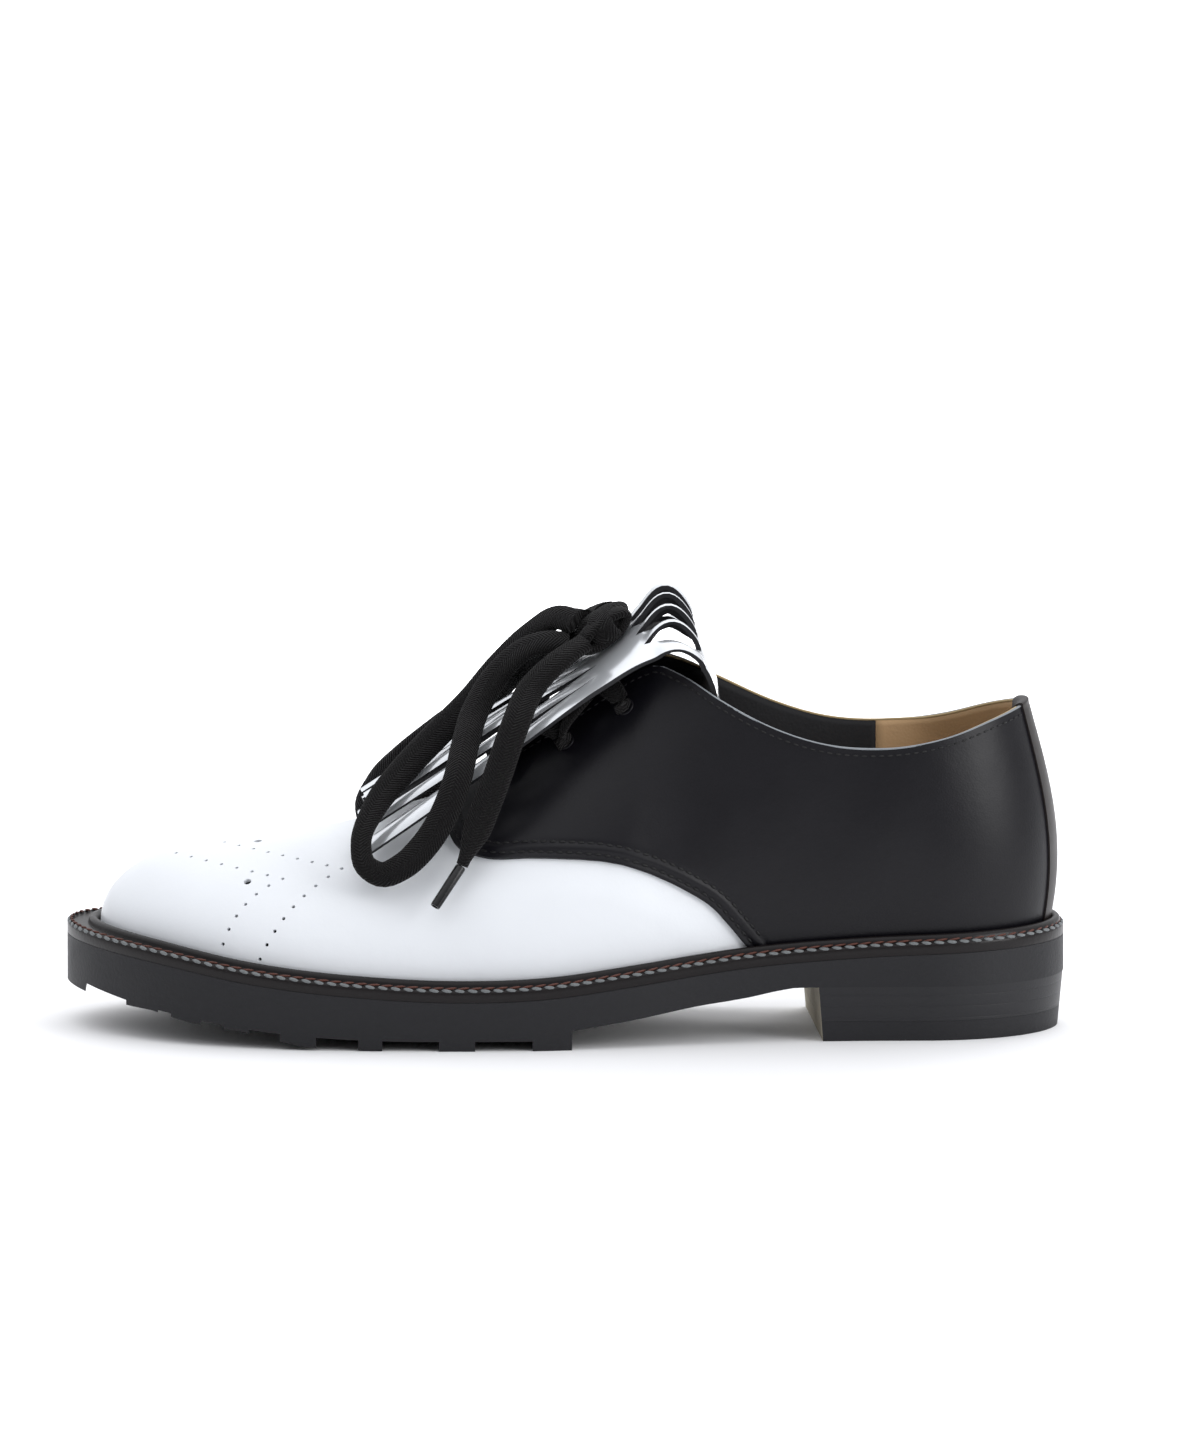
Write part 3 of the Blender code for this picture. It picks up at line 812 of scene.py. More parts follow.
def block(mesh, steps, pair, low, high):
    """Add a block along pairs of points, between two heights that follow the place along the shoe."""

    def place(column, row):
        corner = row % 4
        point = pair(column)[0 if corner in (0, 3) else 1]
        point.z = low(point.x) if corner in (0, 1) else high(point.x)
        return point

    add_grid(mesh, steps, 4, place)


def plate(mesh, steps, edge, low, high, first=0.0):
    """Add a plate inside an edge, from a turn back to the heel."""

    def pair(column):
        turn = first + (math.pi - first) * column / steps
        return edge(turn), edge(2 * math.pi - turn)

    block(mesh, steps, pair, low, high)


def slab(mesh, steps, ends, sides, top):
    """Add a slab along the shoe, from well below the floor up to its top."""

    def pair(column):
        x = ends[0] + (ends[1] - ends[0]) * column / steps
        return [Vector((x, y, 0.0)) for y in sides]

    block(mesh, steps, pair, lambda x: -CUT_CLEAR, top)


def fuller(value):
    """Sine or cosine raised so that a lace's section is fuller than an oval."""
    return math.copysign(abs(value) ** LACE_ROUND, value)


def ribbon(mesh, points, faces_to, half_width, half_thick, sides=20, closed=False):
    """Add a flat lace of oval section along points; its broad face looks the way faces_to says."""
    lengths = along_path(points)
    count = len(points) - 1
    first, last = (count - 1, 1) if closed else (0, count)

    def frame_at(column):
        before = points[column - 1 if column > 0 else first]
        after = points[column + 1 if column < count else last]
        way = (after - before).normalized()
        across = faces_to(column / count).cross(way).normalized()
        return across, way.cross(across)

    frames = [frame_at(column) for column in range(count + 1)]

    def place(column, row):
        across, out = frames[column]
        angle = 2 * math.pi * (row % sides) / sides
        wide = half_width(column / count) * fuller(math.cos(angle))
        thick = half_thick * fuller(math.sin(angle))
        return points[column] + across * wide + out * thick

    def spread(column, row):
        angle = 2 * math.pi * row / sides
        offset = half_width(column / count) * abs(math.cos(angle))
        return (lengths[column] + LACE_RIB_SLOPE * offset, offset)

    add_grid(mesh, count, sides, place, spread)
    if not closed:
        weld(mesh)
        cap(mesh, sides)


def show(mesh, name):
    """Turn a finished mesh into an object of the scene."""
    data = bpy.data.meshes.new(name)
    mesh.to_mesh(data)
    mesh.free()
    made = bpy.data.objects.new(name, data)
    bpy.context.scene.collection.objects.link(made)
    return made


def smooth(made, sharp):
    """Shade a piece smooth, apart from edges sharper than an angle."""
    made.data.shade_smooth()
    made.data.set_sharp_from_angle(angle=math.radians(sharp))


def make_piece(mesh, name, body_slot, *materials, sharp=40.0):
    """Turn a mesh into a piece that rides on the shoe, with its materials; the body slot is not used."""
    made = show(mesh, name)
    for material in materials:
        made.data.materials.append(material)
    smooth(made, sharp)
    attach(made, "root")
    return made


def thicken(made, thickness, rim=0, back=0, offset=-1.0):
    """Give a sheet of leather its thickness; rim and back choose the materials of its cut edge and back."""
    solid = made.modifiers.new("Thickness", "SOLIDIFY")
    solid.thickness = thickness * MM
    solid.offset = offset
    solid.use_even_offset = True
    solid.material_offset_rim = rim
    solid.material_offset = back


def soften(made, width, angle=60.0):
    """Round the edges of a piece that are sharper than an angle."""
    soft = made.modifiers.new("Rounded edges", "BEVEL")
    soft.width = width * MM
    soft.segments = 2
    soft.limit_method = "ANGLE"
    soft.angle_limit = math.radians(angle)
    soft.harden_normals = True


def bake(made):
    """Keep what a piece's modifiers make as its mesh."""
    graph = bpy.context.evaluated_depsgraph_get()
    data = bpy.data.meshes.new_from_object(made.evaluated_get(graph))
    made.modifiers.clear()
    made.data = data


def carve(made, mesh, sharp):
    """Cut the shapes in a mesh out of a piece, and shade it again."""
    cutter = show(mesh, "cutter")
    cut = made.modifiers.new("Cut", "BOOLEAN")
    cut.operation = "DIFFERENCE"
    cut.solver = "EXACT"
    cut.object = cutter
    bake(made)
    bpy.data.objects.remove(cutter)
    smooth(made, sharp)


def stand(way, face):
    """Turning that takes X to a way and Z near a face's direction."""
    x = way.normalized()
    y = face.cross(x).normalized()
    z = x.cross(y)
    return Matrix((x, y, z)).transposed().to_4x4()


def add_stitch(mesh, middle, way, face, size):
    """Add one stitch, a flattened bead of a length, width and height."""
    half = [0.5 * value * MM for value in size]
    place = Matrix.Translation(middle * MM) @ stand(way, face) @ Matrix.Diagonal((*half, 1.0))
    bmesh.ops.create_uvsphere(mesh, u_segments=8, v_segments=5, radius=1.0, matrix=place)


def sew(mesh, spots, pitch, size, slant=0.0):
    """Add a row of stitches along spots, which are pairs of a point and the direction out of the face."""
    step = 0.4
    lengths = along_path([point for point, face in spots])
    total = lengths[-1]
    rows = table("along x y z u v w", *[(s, *point, *face) for s, (point, face) in zip(lengths, spots)])
    count = int(total / pitch)
    for i in range(count):
        stop = (i + 0.5) * total / count
        point, ahead = [Vector([read(rows, axis, place) for axis in "xyz"]) for place in (stop, stop + step)]
        face = Vector([read(rows, axis, stop) for axis in "uvw"])
        add_stitch(mesh, point, Matrix.Rotation(slant, 3, face) @ (ahead - point), face, size)


def settle(tree, point, lift):
    """Nearest point on a surface, lifted off it, with the direction out of it."""
    place, face = tree.find_nearest(point * MM)[:2]
    return place / MM + face * lift, face


# Materials

# Period of Blender's wave pattern at a scale of 1
WAVE_PERIOD = 2 * math.pi / 20


def looks():
    """Settings of the shoe in this scene."""
    return bpy.context.scene.shoe_looks


def linear(code):
    """Linear colour of an sRGB hex value."""
    parts = [int(code[i : i + 2], 16) / 255 for i in (1, 3, 5)]
    return [c / 12.92 if c <= 0.04045 else ((c + 0.055) / 1.055) ** 2.4 for c in parts]


def add(tree, kind, inputs, **settings):
    """Add a node, set its options, and set or link its inputs."""
    made = tree.nodes.new("ShaderNode" + kind)
    for name, value in settings.items():
        setattr(made, name, value)
    for socket, value in inputs.items():
        if isinstance(value, bpy.types.NodeSocket):
            tree.links.new(value, made.inputs[socket])
        else:
            made.inputs[socket].default_value = value
    return made.outputs


def surface(name, colour, shade, patch, gloss, **constants):
    """Start a material whose colour and roughness wander a little over patches of a size."""
    made = bpy.data.materials.new(name)
    made.use_nodes = True
    tree = made.node_tree
    shader = tree.nodes["Principled BSDF"]
    place = add(tree, "TexCoord", {})["Object"]
    cloud = add(tree, "TexNoise", {"Vector": place, "Scale": 1.0 / (patch * MM), "Detail": 3.0})[0]
    darker = [value * shade for value in colour]
    tint = add(tree, "Mix", {0: cloud, 6: (*darker, 1.0), 7: (*colour, 1.0)}, data_type="RGBA")[2]
    tree.links.new(tint, shader.inputs["Base Color"])
    rough = add(tree, "MapRange", {"Value": cloud, "To Min": gloss[0], "To Max": gloss[1]})[0]
    tree.links.new(rough, shader.inputs["Roughness"])
    for socket, value in constants.items():
        shader.inputs[socket.replace("_", " ")].default_value = value
    return made


def emboss(made, height, depth):
    """Press a height into a material, to a depth in millimetres, over any relief it has."""
    tree = made.node_tree
    normal = tree.nodes["Principled BSDF"].inputs["Normal"]
    inputs = {"Height": height, "Distance": depth * MM, "Strength": 1.0}
    if normal.is_linked:
        inputs["Normal"] = normal.links[0].from_socket
    tree.links.new(add(tree, "Bump", inputs)[0], normal)
    return made


def grain(made, size, depth, detail=3.0):
    """Press a cloudy grain of a size and depth, in millimetres, into a material."""
    tree = made.node_tree
    place = add(tree, "TexCoord", {})["Object"]
    inputs = {"Vector": place, "Scale": 1.0 / (size * MM), "Detail": detail}
    return emboss(made, add(tree, "TexNoise", inputs)[0], depth)


def leather(name, colour, shade, gloss, pore, depth, shine):
    """Smooth leather: a pebble grain of a size and depth over slow unevenness from lasting."""
    made = surface(name, colour, shade, patch=14.0, gloss=gloss, Specular_IOR_Level=shine)
    grain(made, size=9.0, depth=0.12, detail=2.0)
    tree = made.node_tree
    place = add(tree, "TexCoord", {})["Object"]
    inputs = {"Vector": place, "Scale": 1.0 / (pore * MM), "Smoothness": 0.6}
    emboss(made, add(tree, "TexVoronoi", inputs, feature="SMOOTH_F1")["Distance"], depth)
    return grain(made, size=0.25, depth=depth * 0.5)


@functools.cache
def white_calf():
    """Corrected white calf, plated smooth: fine pores and a soft sheen, almost no grain to the eye."""
    colour = looks().vamp_colour
    gloss = (0.30, 0.40)
    return leather("white_corrected_calf", colour, shade=0.965, gloss=gloss, pore=0.8, depth=0.010, shine=0.4)


@functools.cache
def black_calf():
    """Black box calf, glazed: small pebbles catch a satin light without going grey."""
    colour = looks().quarter_colour
    gloss = (0.34, 0.44)
    return leather("black_box_calf", colour, shade=0.72, gloss=gloss, pore=0.55, depth=0.018, shine=0.28)


@functools.cache
def backstay_calf():
    """Dark brown calf strip, rubbed a little at the heel: warmer and duller than the quarters."""
    colour = linear("#1F1817")
    gloss = (0.40, 0.52)
    return leather("brown_black_calf", colour, shade=0.7, gloss=gloss, pore=0.5, depth=0.020, shine=0.36)


@functools.cache
def black_lining():
    """Black pigskin lining, sueded: clustered pores, nearly no shine."""
    colour = linear("#17171A")
    gloss = (0.62, 0.75)
    return leather("black_pigskin_lining", colour, shade=0.7, gloss=gloss, pore=0.9, depth=0.05, shine=0.3)


@functools.cache
def tan_lining():
    """Undyed calf heel lining, vegetable tanned: tan, open pored, matte."""
    colour = looks().lining_colour
    gloss = (0.6, 0.75)
    return leather("tan_calf_lining", colour, shade=0.8, gloss=gloss, pore=0.8, depth=0.05, shine=0.3)


@functools.cache
def welt_leather():
    """Storm welt, dyed and waxed: nearly black brown with a rubbed shine on its rib."""
    colour = looks().welt_colour
    gloss = (0.26, 0.40)
    return leather("waxed_welt_leather", colour, shade=0.65, gloss=gloss, pore=1.0, depth=0.03, shine=0.28)


@functools.cache
def patent():
    """Mirror patent, foiled and lacquered: white where it meets the light, grey where it turns away."""
    made = surface(
        "mirror_patent_lacquered",
        looks().kiltie_colour,
        shade=0.94,
        patch=8.0,
        gloss=(0.18, 0.25),
        Metallic=0.55,
        Coat_Weight=0.6,
        Coat_Roughness=0.04,
    )
    return grain(made, size=9.0, depth=0.02, detail=1.0)


def plain(name, code, shade, patch, gloss, shine):
    """Start a material of a fixed colour that mirrors a share of the light."""
    return surface(name, linear(code), shade, patch, gloss, Specular_IOR_Level=shine)


@functools.cache
def cut_edge():
    """Cut edge of the kiltie and quarters, inked dark grey: fibrous and matte beside the finished face."""
    made = plain("inked_cut_edge", "#242427", shade=0.7, patch=1.2, gloss=(0.5, 0.7), shine=0.3)
    return grain(made, size=0.3, depth=0.05)


@functools.cache
def raw_edge():
    """Raw cut edge of the quarters at the collar, skived: pale grey fibres."""
    made = plain("raw_leather_edge", "#8C9196", shade=0.75, patch=3.0, gloss=(0.65, 0.8), shine=0.3)
    return grain(made, size=0.35, depth=0.06)


@functools.cache
def lining_edge():
    """Cut edge of the lining, undyed: a thin cream line inside the collar."""
    made = plain("undyed_lining_edge", "#BBA67E", shade=0.75, patch=3.0, gloss=(0.65, 0.8), shine=0.3)
    return grain(made, size=0.35, depth=0.06)


@functools.cache
def heel_breast():
    """Front face of the heel, left raw: pressed grey-tan board, coarse and dull."""
    made = plain("raw_heel_breast", "#B8B09E", shade=0.7, patch=4.0, gloss=(0.75, 0.9), shine=0.25)
    return grain(made, size=0.8, depth=0.15)


@functools.cache
def thread(name, code):
    """Twisted and waxed sewing thread: small glints along each stitch."""
    made = plain(name, code, shade=0.6, patch=0.8, gloss=(0.45, 0.65), shine=0.4)
    return grain(made, size=0.2, depth=0.05)


@functools.cache
def aglet_plastic():
    """Crimped plastic film: black and glossy, faintly wrinkled by its wrapping."""
    made = plain("black_aglet_film", "#0E0E10", shade=0.8, patch=3.0, gloss=(0.22, 0.32), shine=0.4)
    return grain(made, size=1.5, depth=0.05)


@functools.cache
def studio_floor():
    """Painted studio floor: plain, pale and matte, with only a trace of unevenness."""
    return plain("matte_white_floor", "#F4F4F5", shade=0.99, patch=300.0, gloss=(0.85, 0.95), shine=0.1)


@functools.cache
def moulded_rubber():
    """Moulded rubber: matte black with a fine mould texture and faint unevenness."""
    colour = looks().sole_colour
    made = surface("moulded_rubber", colour, 0.75, patch=9.0, gloss=(0.46, 0.60), Specular_IOR_Level=0.36)
    grain(made, size=1.1, depth=0.10)
    return grain(made, size=0.3, depth=0.04)


@functools.cache
def stacked_heel():
    """Heel of pressed layers, inked and burnished: faint level lines every few millimetres."""
    layer = 3.2
    colour = looks().sole_colour
    made = surface("inked_stacked_heel", colour, 0.8, patch=12.0, gloss=(0.36, 0.5), Specular_IOR_Level=0.4)
    tree = made.node_tree
    place = add(tree, "TexCoord", {})["Object"]
    inputs = {"Vector": place, "Scale": WAVE_PERIOD / (layer * MM), "Distortion": 0.3, "Detail": 1.0}
    rings = add(tree, "TexWave", inputs, bands_direction="Z")[1]
    groove = add(tree, "Math", {0: rings, 1: 0.12}, operation="POWER")[0]
    emboss(made, groove, depth=0.12)
    return grain(made, size=0.6, depth=0.05)


@functools.cache
def woven_cotton():
    """Flat woven cotton lace: chevron ribs a millimetre apart, fuzzy and without shine.

    The ribs are drawn deeper than real ones, so that they show at the size of the render, and painted shade
    darkens the valleys between them.
    """
    period = 0.9
    colour = looks().lace_colour
    gloss = (0.85, 0.95)
    constants = {"Specular_IOR_Level": 0.15, "Sheen_Weight": 0.06}
    made = surface("woven_black_cotton", colour, 0.6, patch=1.5, gloss=gloss, **constants)
    tree = made.node_tree
    place = add(tree, "TexCoord", {})["UV"]
    inputs = {"Vector": place, "Scale": WAVE_PERIOD / period, "Distortion": 0.6, "Detail": 1.0}
    weave = add(tree, "TexWave", inputs)[1]
    base = tree.nodes["Principled BSDF"].inputs["Base Color"]
    ground = base.links[0].from_socket
    # Painted shade: the colour darkens where the weave is low, in the valleys between the ribs.
    valley_shade = [0.45 * value for value in colour]
    tint = add(tree, "Mix", {0: weave, 6: (*valley_shade, 1.0), 7: ground}, data_type="RGBA")[2]
    tree.links.new(tint, base)
    emboss(made, weave, depth=0.40)
    return grain(made, size=0.6, depth=0.35)


# Camera, light and floor


def aim(made, place, target):
    """Stand a camera or light at a place, looking at a target."""
    made.location = place
    made.rotation_euler = (target - place).to_track_quat("-Z", "Y").to_euler()
    bpy.context.scene.collection.objects.link(made)


def make_camera():
    """Camera at the photo's angle, on a long lens."""
    target = Vector(CAMERA_AIM) * MM
    back = Vector((0.0, -math.cos(CAMERA_ELEVATION), math.sin(CAMERA_ELEVATION)))
    data = bpy.data.cameras.new("photo_camera")
    data.sensor_width = SENSOR
    data.lens = SENSOR * CAMERA_DISTANCE / FRAME_HEIGHT
    data.clip_end = 100.0
    made = bpy.data.objects.new("photo_camera", data)
    aim(made, target + back * (CAMERA_DISTANCE * MM), target)
    bpy.context.scene.camera = made


def make_softbox(name, place, size, power, shine=True):
    """Large soft lamp that no camera sees; without shine it lights surfaces but leaves no highlight."""
    data = bpy.data.lights.new(name, "AREA")
    data.shape = "RECTANGLE"
    data.size, data.size_y = size
    data.energy = power
    made = bpy.data.objects.new(name, data)
    made.visible_camera = False
    made.visible_glossy = shine
    aim(made, Vector(place), Vector(LIGHT_AIM))


def make_world(front, behind, above):
    """Light tent: dim where the camera stands, brighter behind the shoe and overhead."""
    world = bpy.data.worlds.new("light_tent")
    world.use_nodes = True
    tree = world.node_tree
    way = add(tree, "SeparateXYZ", {0: add(tree, "TexCoord", {})["Generated"]})
    back = add(tree, "MapRange", {"Value": way[1], "From Min": -0.5, "From Max": 0.6, "To Max": behind})[0]
    top = add(tree, "MapRange", {"Value": way[2], "From Min": 0.1, "From Max": 0.9, "To Max": above})[0]
    both = add(tree, "Math", {0: back, 1: top}, operation="ADD")[0]
    strength = add(tree, "Math", {0: both, 1: front}, operation="ADD")[0]
    background = tree.nodes["Background"]
    background.inputs["Color"].default_value = TENT_COLOUR
    tree.links.new(strength, background.inputs["Strength"])
    bpy.context.scene.world = world


def make_floor():
    """Plain pale floor under the shoe."""
    mesh = bmesh.new()
    bmesh.ops.create_circle(mesh, cap_ends=True, segments=64, radius=FLOOR_RADIUS)
    made = show(mesh, "studio_floor")
    made.data.materials.append(studio_floor())


# Lace


def metres(points):
    """Points of a path in metres."""
    return [tuple(point * MM) for point in points]


def make_lace(name, node, route, faces_to, half_width):
    """Flat woven lace along a route, with the points it follows."""
    points = smooth_points(route, LACE_STEP)
    mesh = bmesh.new()
    ribbon(mesh, points, faces_to, half_width, looks().lace_thickness / MM / 2)
    close(mesh)
    made = make_piece(mesh, name, "lace_cotton", woven_cotton(), sharp=80.0)
    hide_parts(node)
    return made, points


def make_loop(side_name, side):
    """One loop of the bow, out of the knot and back into it; it narrows where it turns at its lowest."""
    half = looks().lace_width / MM / 2
    low = Vector((-0.15, side * 0.95, 0.30))
    high = Vector((-0.45, side * 0.45, 0.80))
    turn, turn_spread, turn_narrowing = 0.47, 0.07, 0.28
    end_narrowing, end_length = 0.05, 0.12

    def faces_to(along):
        return high.lerp(low, math.sin(math.pi * along) ** 0.7)

    def half_width(along):
        inside = ease(min(along, 1.0 - along), 0.0, end_length)
        return half * (1.0 - end_narrowing * (1.0 - inside) - turn_narrowing * bell(along, turn, turn_spread))

    node = "lace_loop_" + side_name
    made, points = make_lace("bow_loop_" + side_name, node, LOOP_ROUTES[node], faces_to, half_width)
    path = metres(points)
    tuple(path[0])
    along_path(path)[-1]


def make_aglet(side_name, end):
    """Plastic tip on a lace's tail: a crimped tube with a hollow end."""
    way = Vector(AGLET_WAYS[side_name]).normalized()
    start = end + way * (2 * GAP)
    hollow = AGLET_LENGTH - AGLET_HOLLOW
    profile = (
        (0.0, 0.0),
        (0.0, 0.92),
        (AGLET_LIP, 1.0),
        (AGLET_LENGTH * 0.5, 0.97),
        (AGLET_LENGTH - AGLET_LIP, 0.94),
        (AGLET_LENGTH, 0.88),
        (AGLET_LENGTH, 0.62),
        (hollow, 0.55),
        (hollow, 0.0),
    )
    sides = 18
    turned = stand(way, UP)

    def place(column, row):
        along, share = profile[column]
        out = AGLET_TUBE / 2 * share
        angle = 2 * math.pi * (row % sides) / sides
        return start + turned @ Vector((along, out * math.cos(angle), out * math.sin(angle) * AGLET_FLAT))

    mesh = bmesh.new()
    add_grid(mesh, len(profile) - 1, sides, place)
    close(mesh)
    made = make_piece(mesh, "crimped_aglet_" + side_name, "aglet_plastic", aglet_plastic())
    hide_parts("aglet_" + side_name)
    return made


def make_tail(side_name, side):
    """One tail of the bow, from the knot to its aglet, which it narrows into."""
    half = looks().lace_width / MM / 2
    high = Vector((-0.45, side * 0.50, 0.75))
    low = Vector((-0.10, side * 0.97, 0.20))
    knot_share, knot_length, tip_start = 0.86, 0.15, 0.84

    def faces_to(along):
        return high.lerp(low, ease(along, 0.0, 0.6))

    def half_width(along):
        full = half * (knot_share + (1.0 - knot_share) * ease(along, 0.0, knot_length))
        return full + (AGLET_TUBE / 2 - full) * ease(along, tip_start, 1.0)

    node = "lace_end_" + side_name
    made, points = make_lace("bow_tail_" + side_name, node, TAIL_ROUTES[side_name], faces_to, half_width)
    path = metres(points)
    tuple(path[0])
    along_path(path)[-1]
    make_aglet(side_name, points[-1])


def make_knot():
    """Knot of the bow: two turns of lace along the strands, and a third wrapped across them."""
    turned = Matrix.Rotation(KNOT_TILT, 4, "Y") @ Matrix.Rotation(KNOT_ROLL, 4, "X")
    centre = Vector(KNOT_CENTRE)
    mesh = bmesh.new()
    count = 60
    for shift, yaw, long, high in KNOT_TURNS:
        skew = turned @ Matrix.Rotation(math.radians(yaw), 4, "Z")

        def turn_point(i):
            angle = 2 * math.pi * i / count
            return centre + skew @ Vector((long * math.cos(angle), shift, high * math.sin(angle)))

        def faces_to(along):
            angle = 2 * math.pi * along
            return skew @ Vector((math.cos(angle) / long, 0.0, math.sin(angle) / high)).normalized()

        points = [turn_point(i % count) for i in range(count + 1)]
        ribbon(mesh, points, faces_to, lambda along: KNOT_HALF_WIDTH, KNOT_HALF_THICK, closed=True)
    size = Matrix.Diagonal((*[half * MM for half in KNOT_CORE], 1.0))
    core = Matrix.Translation(centre * MM) @ turned @ size
    bmesh.ops.create_uvsphere(mesh, u_segments=24, v_segments=14, radius=1.0, matrix=core)
    close(mesh)
    made = make_piece(mesh, "bow_knot", "lace_cotton", woven_cotton(), sharp=80.0)
    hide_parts("lace_knot")


def eyelet_turn(x, side):
    """Turn of an eyelet on one facing; side is -1 for lateral."""
    return -side * turn_at(x)


def crossing_route(start, end, side):
    """Route of the lace from an eyelet on one facing to one on the other, diving into both."""
    lift = BAR_TUBE / 2 + BAR_LIFT
    third = (end - start) / 3
    first = eyelet_turn(start, side)
    last = eyelet_turn(end, -side)
    near = on_upper(eyelet_turn(start + third, side), 1.0, lift)
    far = on_upper(eyelet_turn(end - third, -side), 1.0, lift)
    inside = (EYELET_DEPTH - 0.01, -0.6)
    mouth = (EYELET_DEPTH, lift - 0.5)
    return [
        on_upper(first, *inside),
        on_upper(first, *mouth),
        near,
        (near + far) / 2,
        far,
        on_upper(last, *mouth),
        on_upper(last, *inside),
    ]


def make_crossings():
    """Lace between the facings: a straight bar in the lowest eyelets, then crosses."""
    mesh = bmesh.new()
    hole_half, widening = 2.6, 0.9

    def half_width(along):
        return hole_half + widening * ease(min(along, 1.0 - along), 0.06, 0.20)

    routes = [crossing_route(EYELET_ROWS[0], EYELET_ROWS[0], 1)]
    for start, end in zip(EYELET_ROWS, EYELET_ROWS[1:]):
        routes += [crossing_route(start, end, side) for side in (1, -1)]
    out = Vector((-0.5, 0.0, 0.85))
    for i, route in enumerate(routes):
        raised = [point + out * (BAR_STAGGER * (i % 2)) for point in route]
        ribbon(mesh, smooth_points(raised, BAR_STEP), lambda along: out, half_width, BAR_HALF_THICK, sides=14)
    close(mesh)
    made = make_piece(mesh, "lace_crossings", "lace_cotton", woven_cotton(), sharp=80.0)
    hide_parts("lace_bars")


# Sole, heel and welt


def make_outsole():
    """Rubber outsole with its lugs, slots, waist and toe spring."""
    mesh = bmesh.new()
    plate(mesh, 200, outline, tread, welt_joint)
    close(mesh)
    made = make_piece(mesh, "rubber_outsole", "moulded_rubber", moulded_rubber(), sharp=30.0)
    cutter = bmesh.new()
    wide = SOLE_LENGTH
    waist_ends = (LUG_END, SOLE_LENGTH / 2 + CUT_CLEAR)
    slab(cutter, 60, waist_ends, (-wide, wide), lambda x: read(WAIST_SIDE, "under", x))
    for ends in EDGE_SLOTS:
        turn = turn_at(sum(ends) / 2)
        slab(cutter, 4, ends, (-wide, outline(turn).y + SLOT_REACH), slot_floor)
        slab(cutter, 4, ends, (outline(-turn).y - SLOT_REACH, wide), slot_floor)
    for start in BAR_SLOT_STARTS:
        middle = read(SOLE_PLAN, "middle", start)
        sides = (middle - BAR_SLOT_HALF, middle + BAR_SLOT_HALF)
        slab(cutter, 4, (start, start + BAR_SLOT_WIDTH), sides, slot_floor)
    weld(cutter)
    cap(cutter, 4)
    bmesh.ops.recalc_face_normals(cutter, faces=cutter.faces)
    carve(made, cutter, sharp=30.0)
    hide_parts("outsole")


def make_heel_layer(name, node, low, high, body_slot, material):
    """One layer of the heel, cut off at the breast and tapered towards the floor."""
    mesh = bmesh.new()
    first = turn_at(HEEL_BREAST - CUT_CLEAR)
    plate(mesh, 110, lambda turn: inset(turn, HEEL_INSET), lambda x: low, lambda x: high, first)
    close(mesh)
    bmesh.ops.bisect_plane(
        mesh,
        geom=mesh.verts[:] + mesh.edges[:] + mesh.faces[:],
        plane_co=Vector((HEEL_BREAST, outline(turn_at(HEEL_BREAST)).y, 0.0)) * MM,
        plane_no=(-1.0, -HEEL_BREAST_SKEW, 0.0),
        clear_outer=True,
    )
    cap(mesh, 0)
    for vertex in mesh.verts:
        keep = 1.0 - HEEL_TAPER * (1.0 - vertex.co.z / MM / HEEL_SEAT)
        for axis, centre in enumerate(HEEL_CENTRE):
            vertex.co[axis] = centre * MM + (vertex.co[axis] - centre * MM) * keep
    close(mesh)
    made = make_piece(mesh, name, body_slot, material, heel_breast(), sharp=30.0)
    for face in made.data.polygons:
        if face.normal.x < BREAST_FACING:
            face.material_index = 1
    soften(made, HEEL_EDGE, angle=50.0)
    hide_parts(node)


def welt_profile(turn):
    """Section of the welt: distance in from the outline, and height above the outsole."""
    reach = welt_reach(turn)
    rib = reach - RIB_WIDTH - 2 * GAP
    top = WELT_THICK
    points = [(0.1, 0.03), (0.0, 0.15), (0.0, top - 0.9), (0.16, top - 0.3), (0.6, top)]
    points.append((rib - 0.1, top - 0.15))
    for angle in even(math.pi, 0.0, 8):
        points.append((rib + RIB_WIDTH * (0.5 + 0.5 * math.cos(angle)), top + RIB_HEIGHT * math.sin(angle)))
    points += [(reach + WALL, top), (reach + WALL, 0.03)]
    return points


def make_welt():
    """Storm welt all round the shoe, with its rounded rib beside the upper."""
    stations = 260
    profiles = [welt_profile(2 * math.pi * i / stations) for i in range(stations)]
    count = len(profiles[0])

    def place(column, row):
        turn = 2 * math.pi * (column % stations) / stations
        distance, height = profiles[column % stations][row % count]
        point = inset(turn, distance)
        point.z = welt_joint(point.x) + height
        return point

    mesh = bmesh.new()
    add_grid(mesh, stations, count, place)
    close(mesh)
    made = make_piece(mesh, "storm_welt", "welt_leather", welt_leather(), sharp=50.0)
    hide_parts("welt")


def make_insole():
    """Sock and board that the foot stands on."""

    def edge(turn):
        return inset(turn, welt_reach(turn) + WALL + INSOLE_CLEAR)

    mesh = bmesh.new()
    plate(mesh, 120, edge, lambda x: welt_joint(x) + GAP, lambda x: welt_top(x) + INSOLE_RISE)
    close(mesh)
    made = make_piece(mesh, "sock_and_insole", "insole_leather", tan_lining(), sharp=30.0)
    soften(made, INSOLE_EDGE, angle=50.0)
    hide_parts("insole")


# Upper


def sheet_mesh(columns, rows, place, flip=False):
    """Open sheet from a grid, with its seams merged."""
    mesh = bmesh.new()
    add_grid(mesh, columns, rows, place)
    weld(mesh)
    if flip:
        bmesh.ops.reverse_faces(mesh, faces=mesh.faces)
    return mesh


def crest_normal(turn, rise):
    """Direction out of the upper that both sides share along the vamp's crest."""
    way = upper_normal(turn, rise)
    if rise > 0.999 and upper_top(turn).x < THROAT + 1.0:
        way.y = 0.0
    return way.normalized()


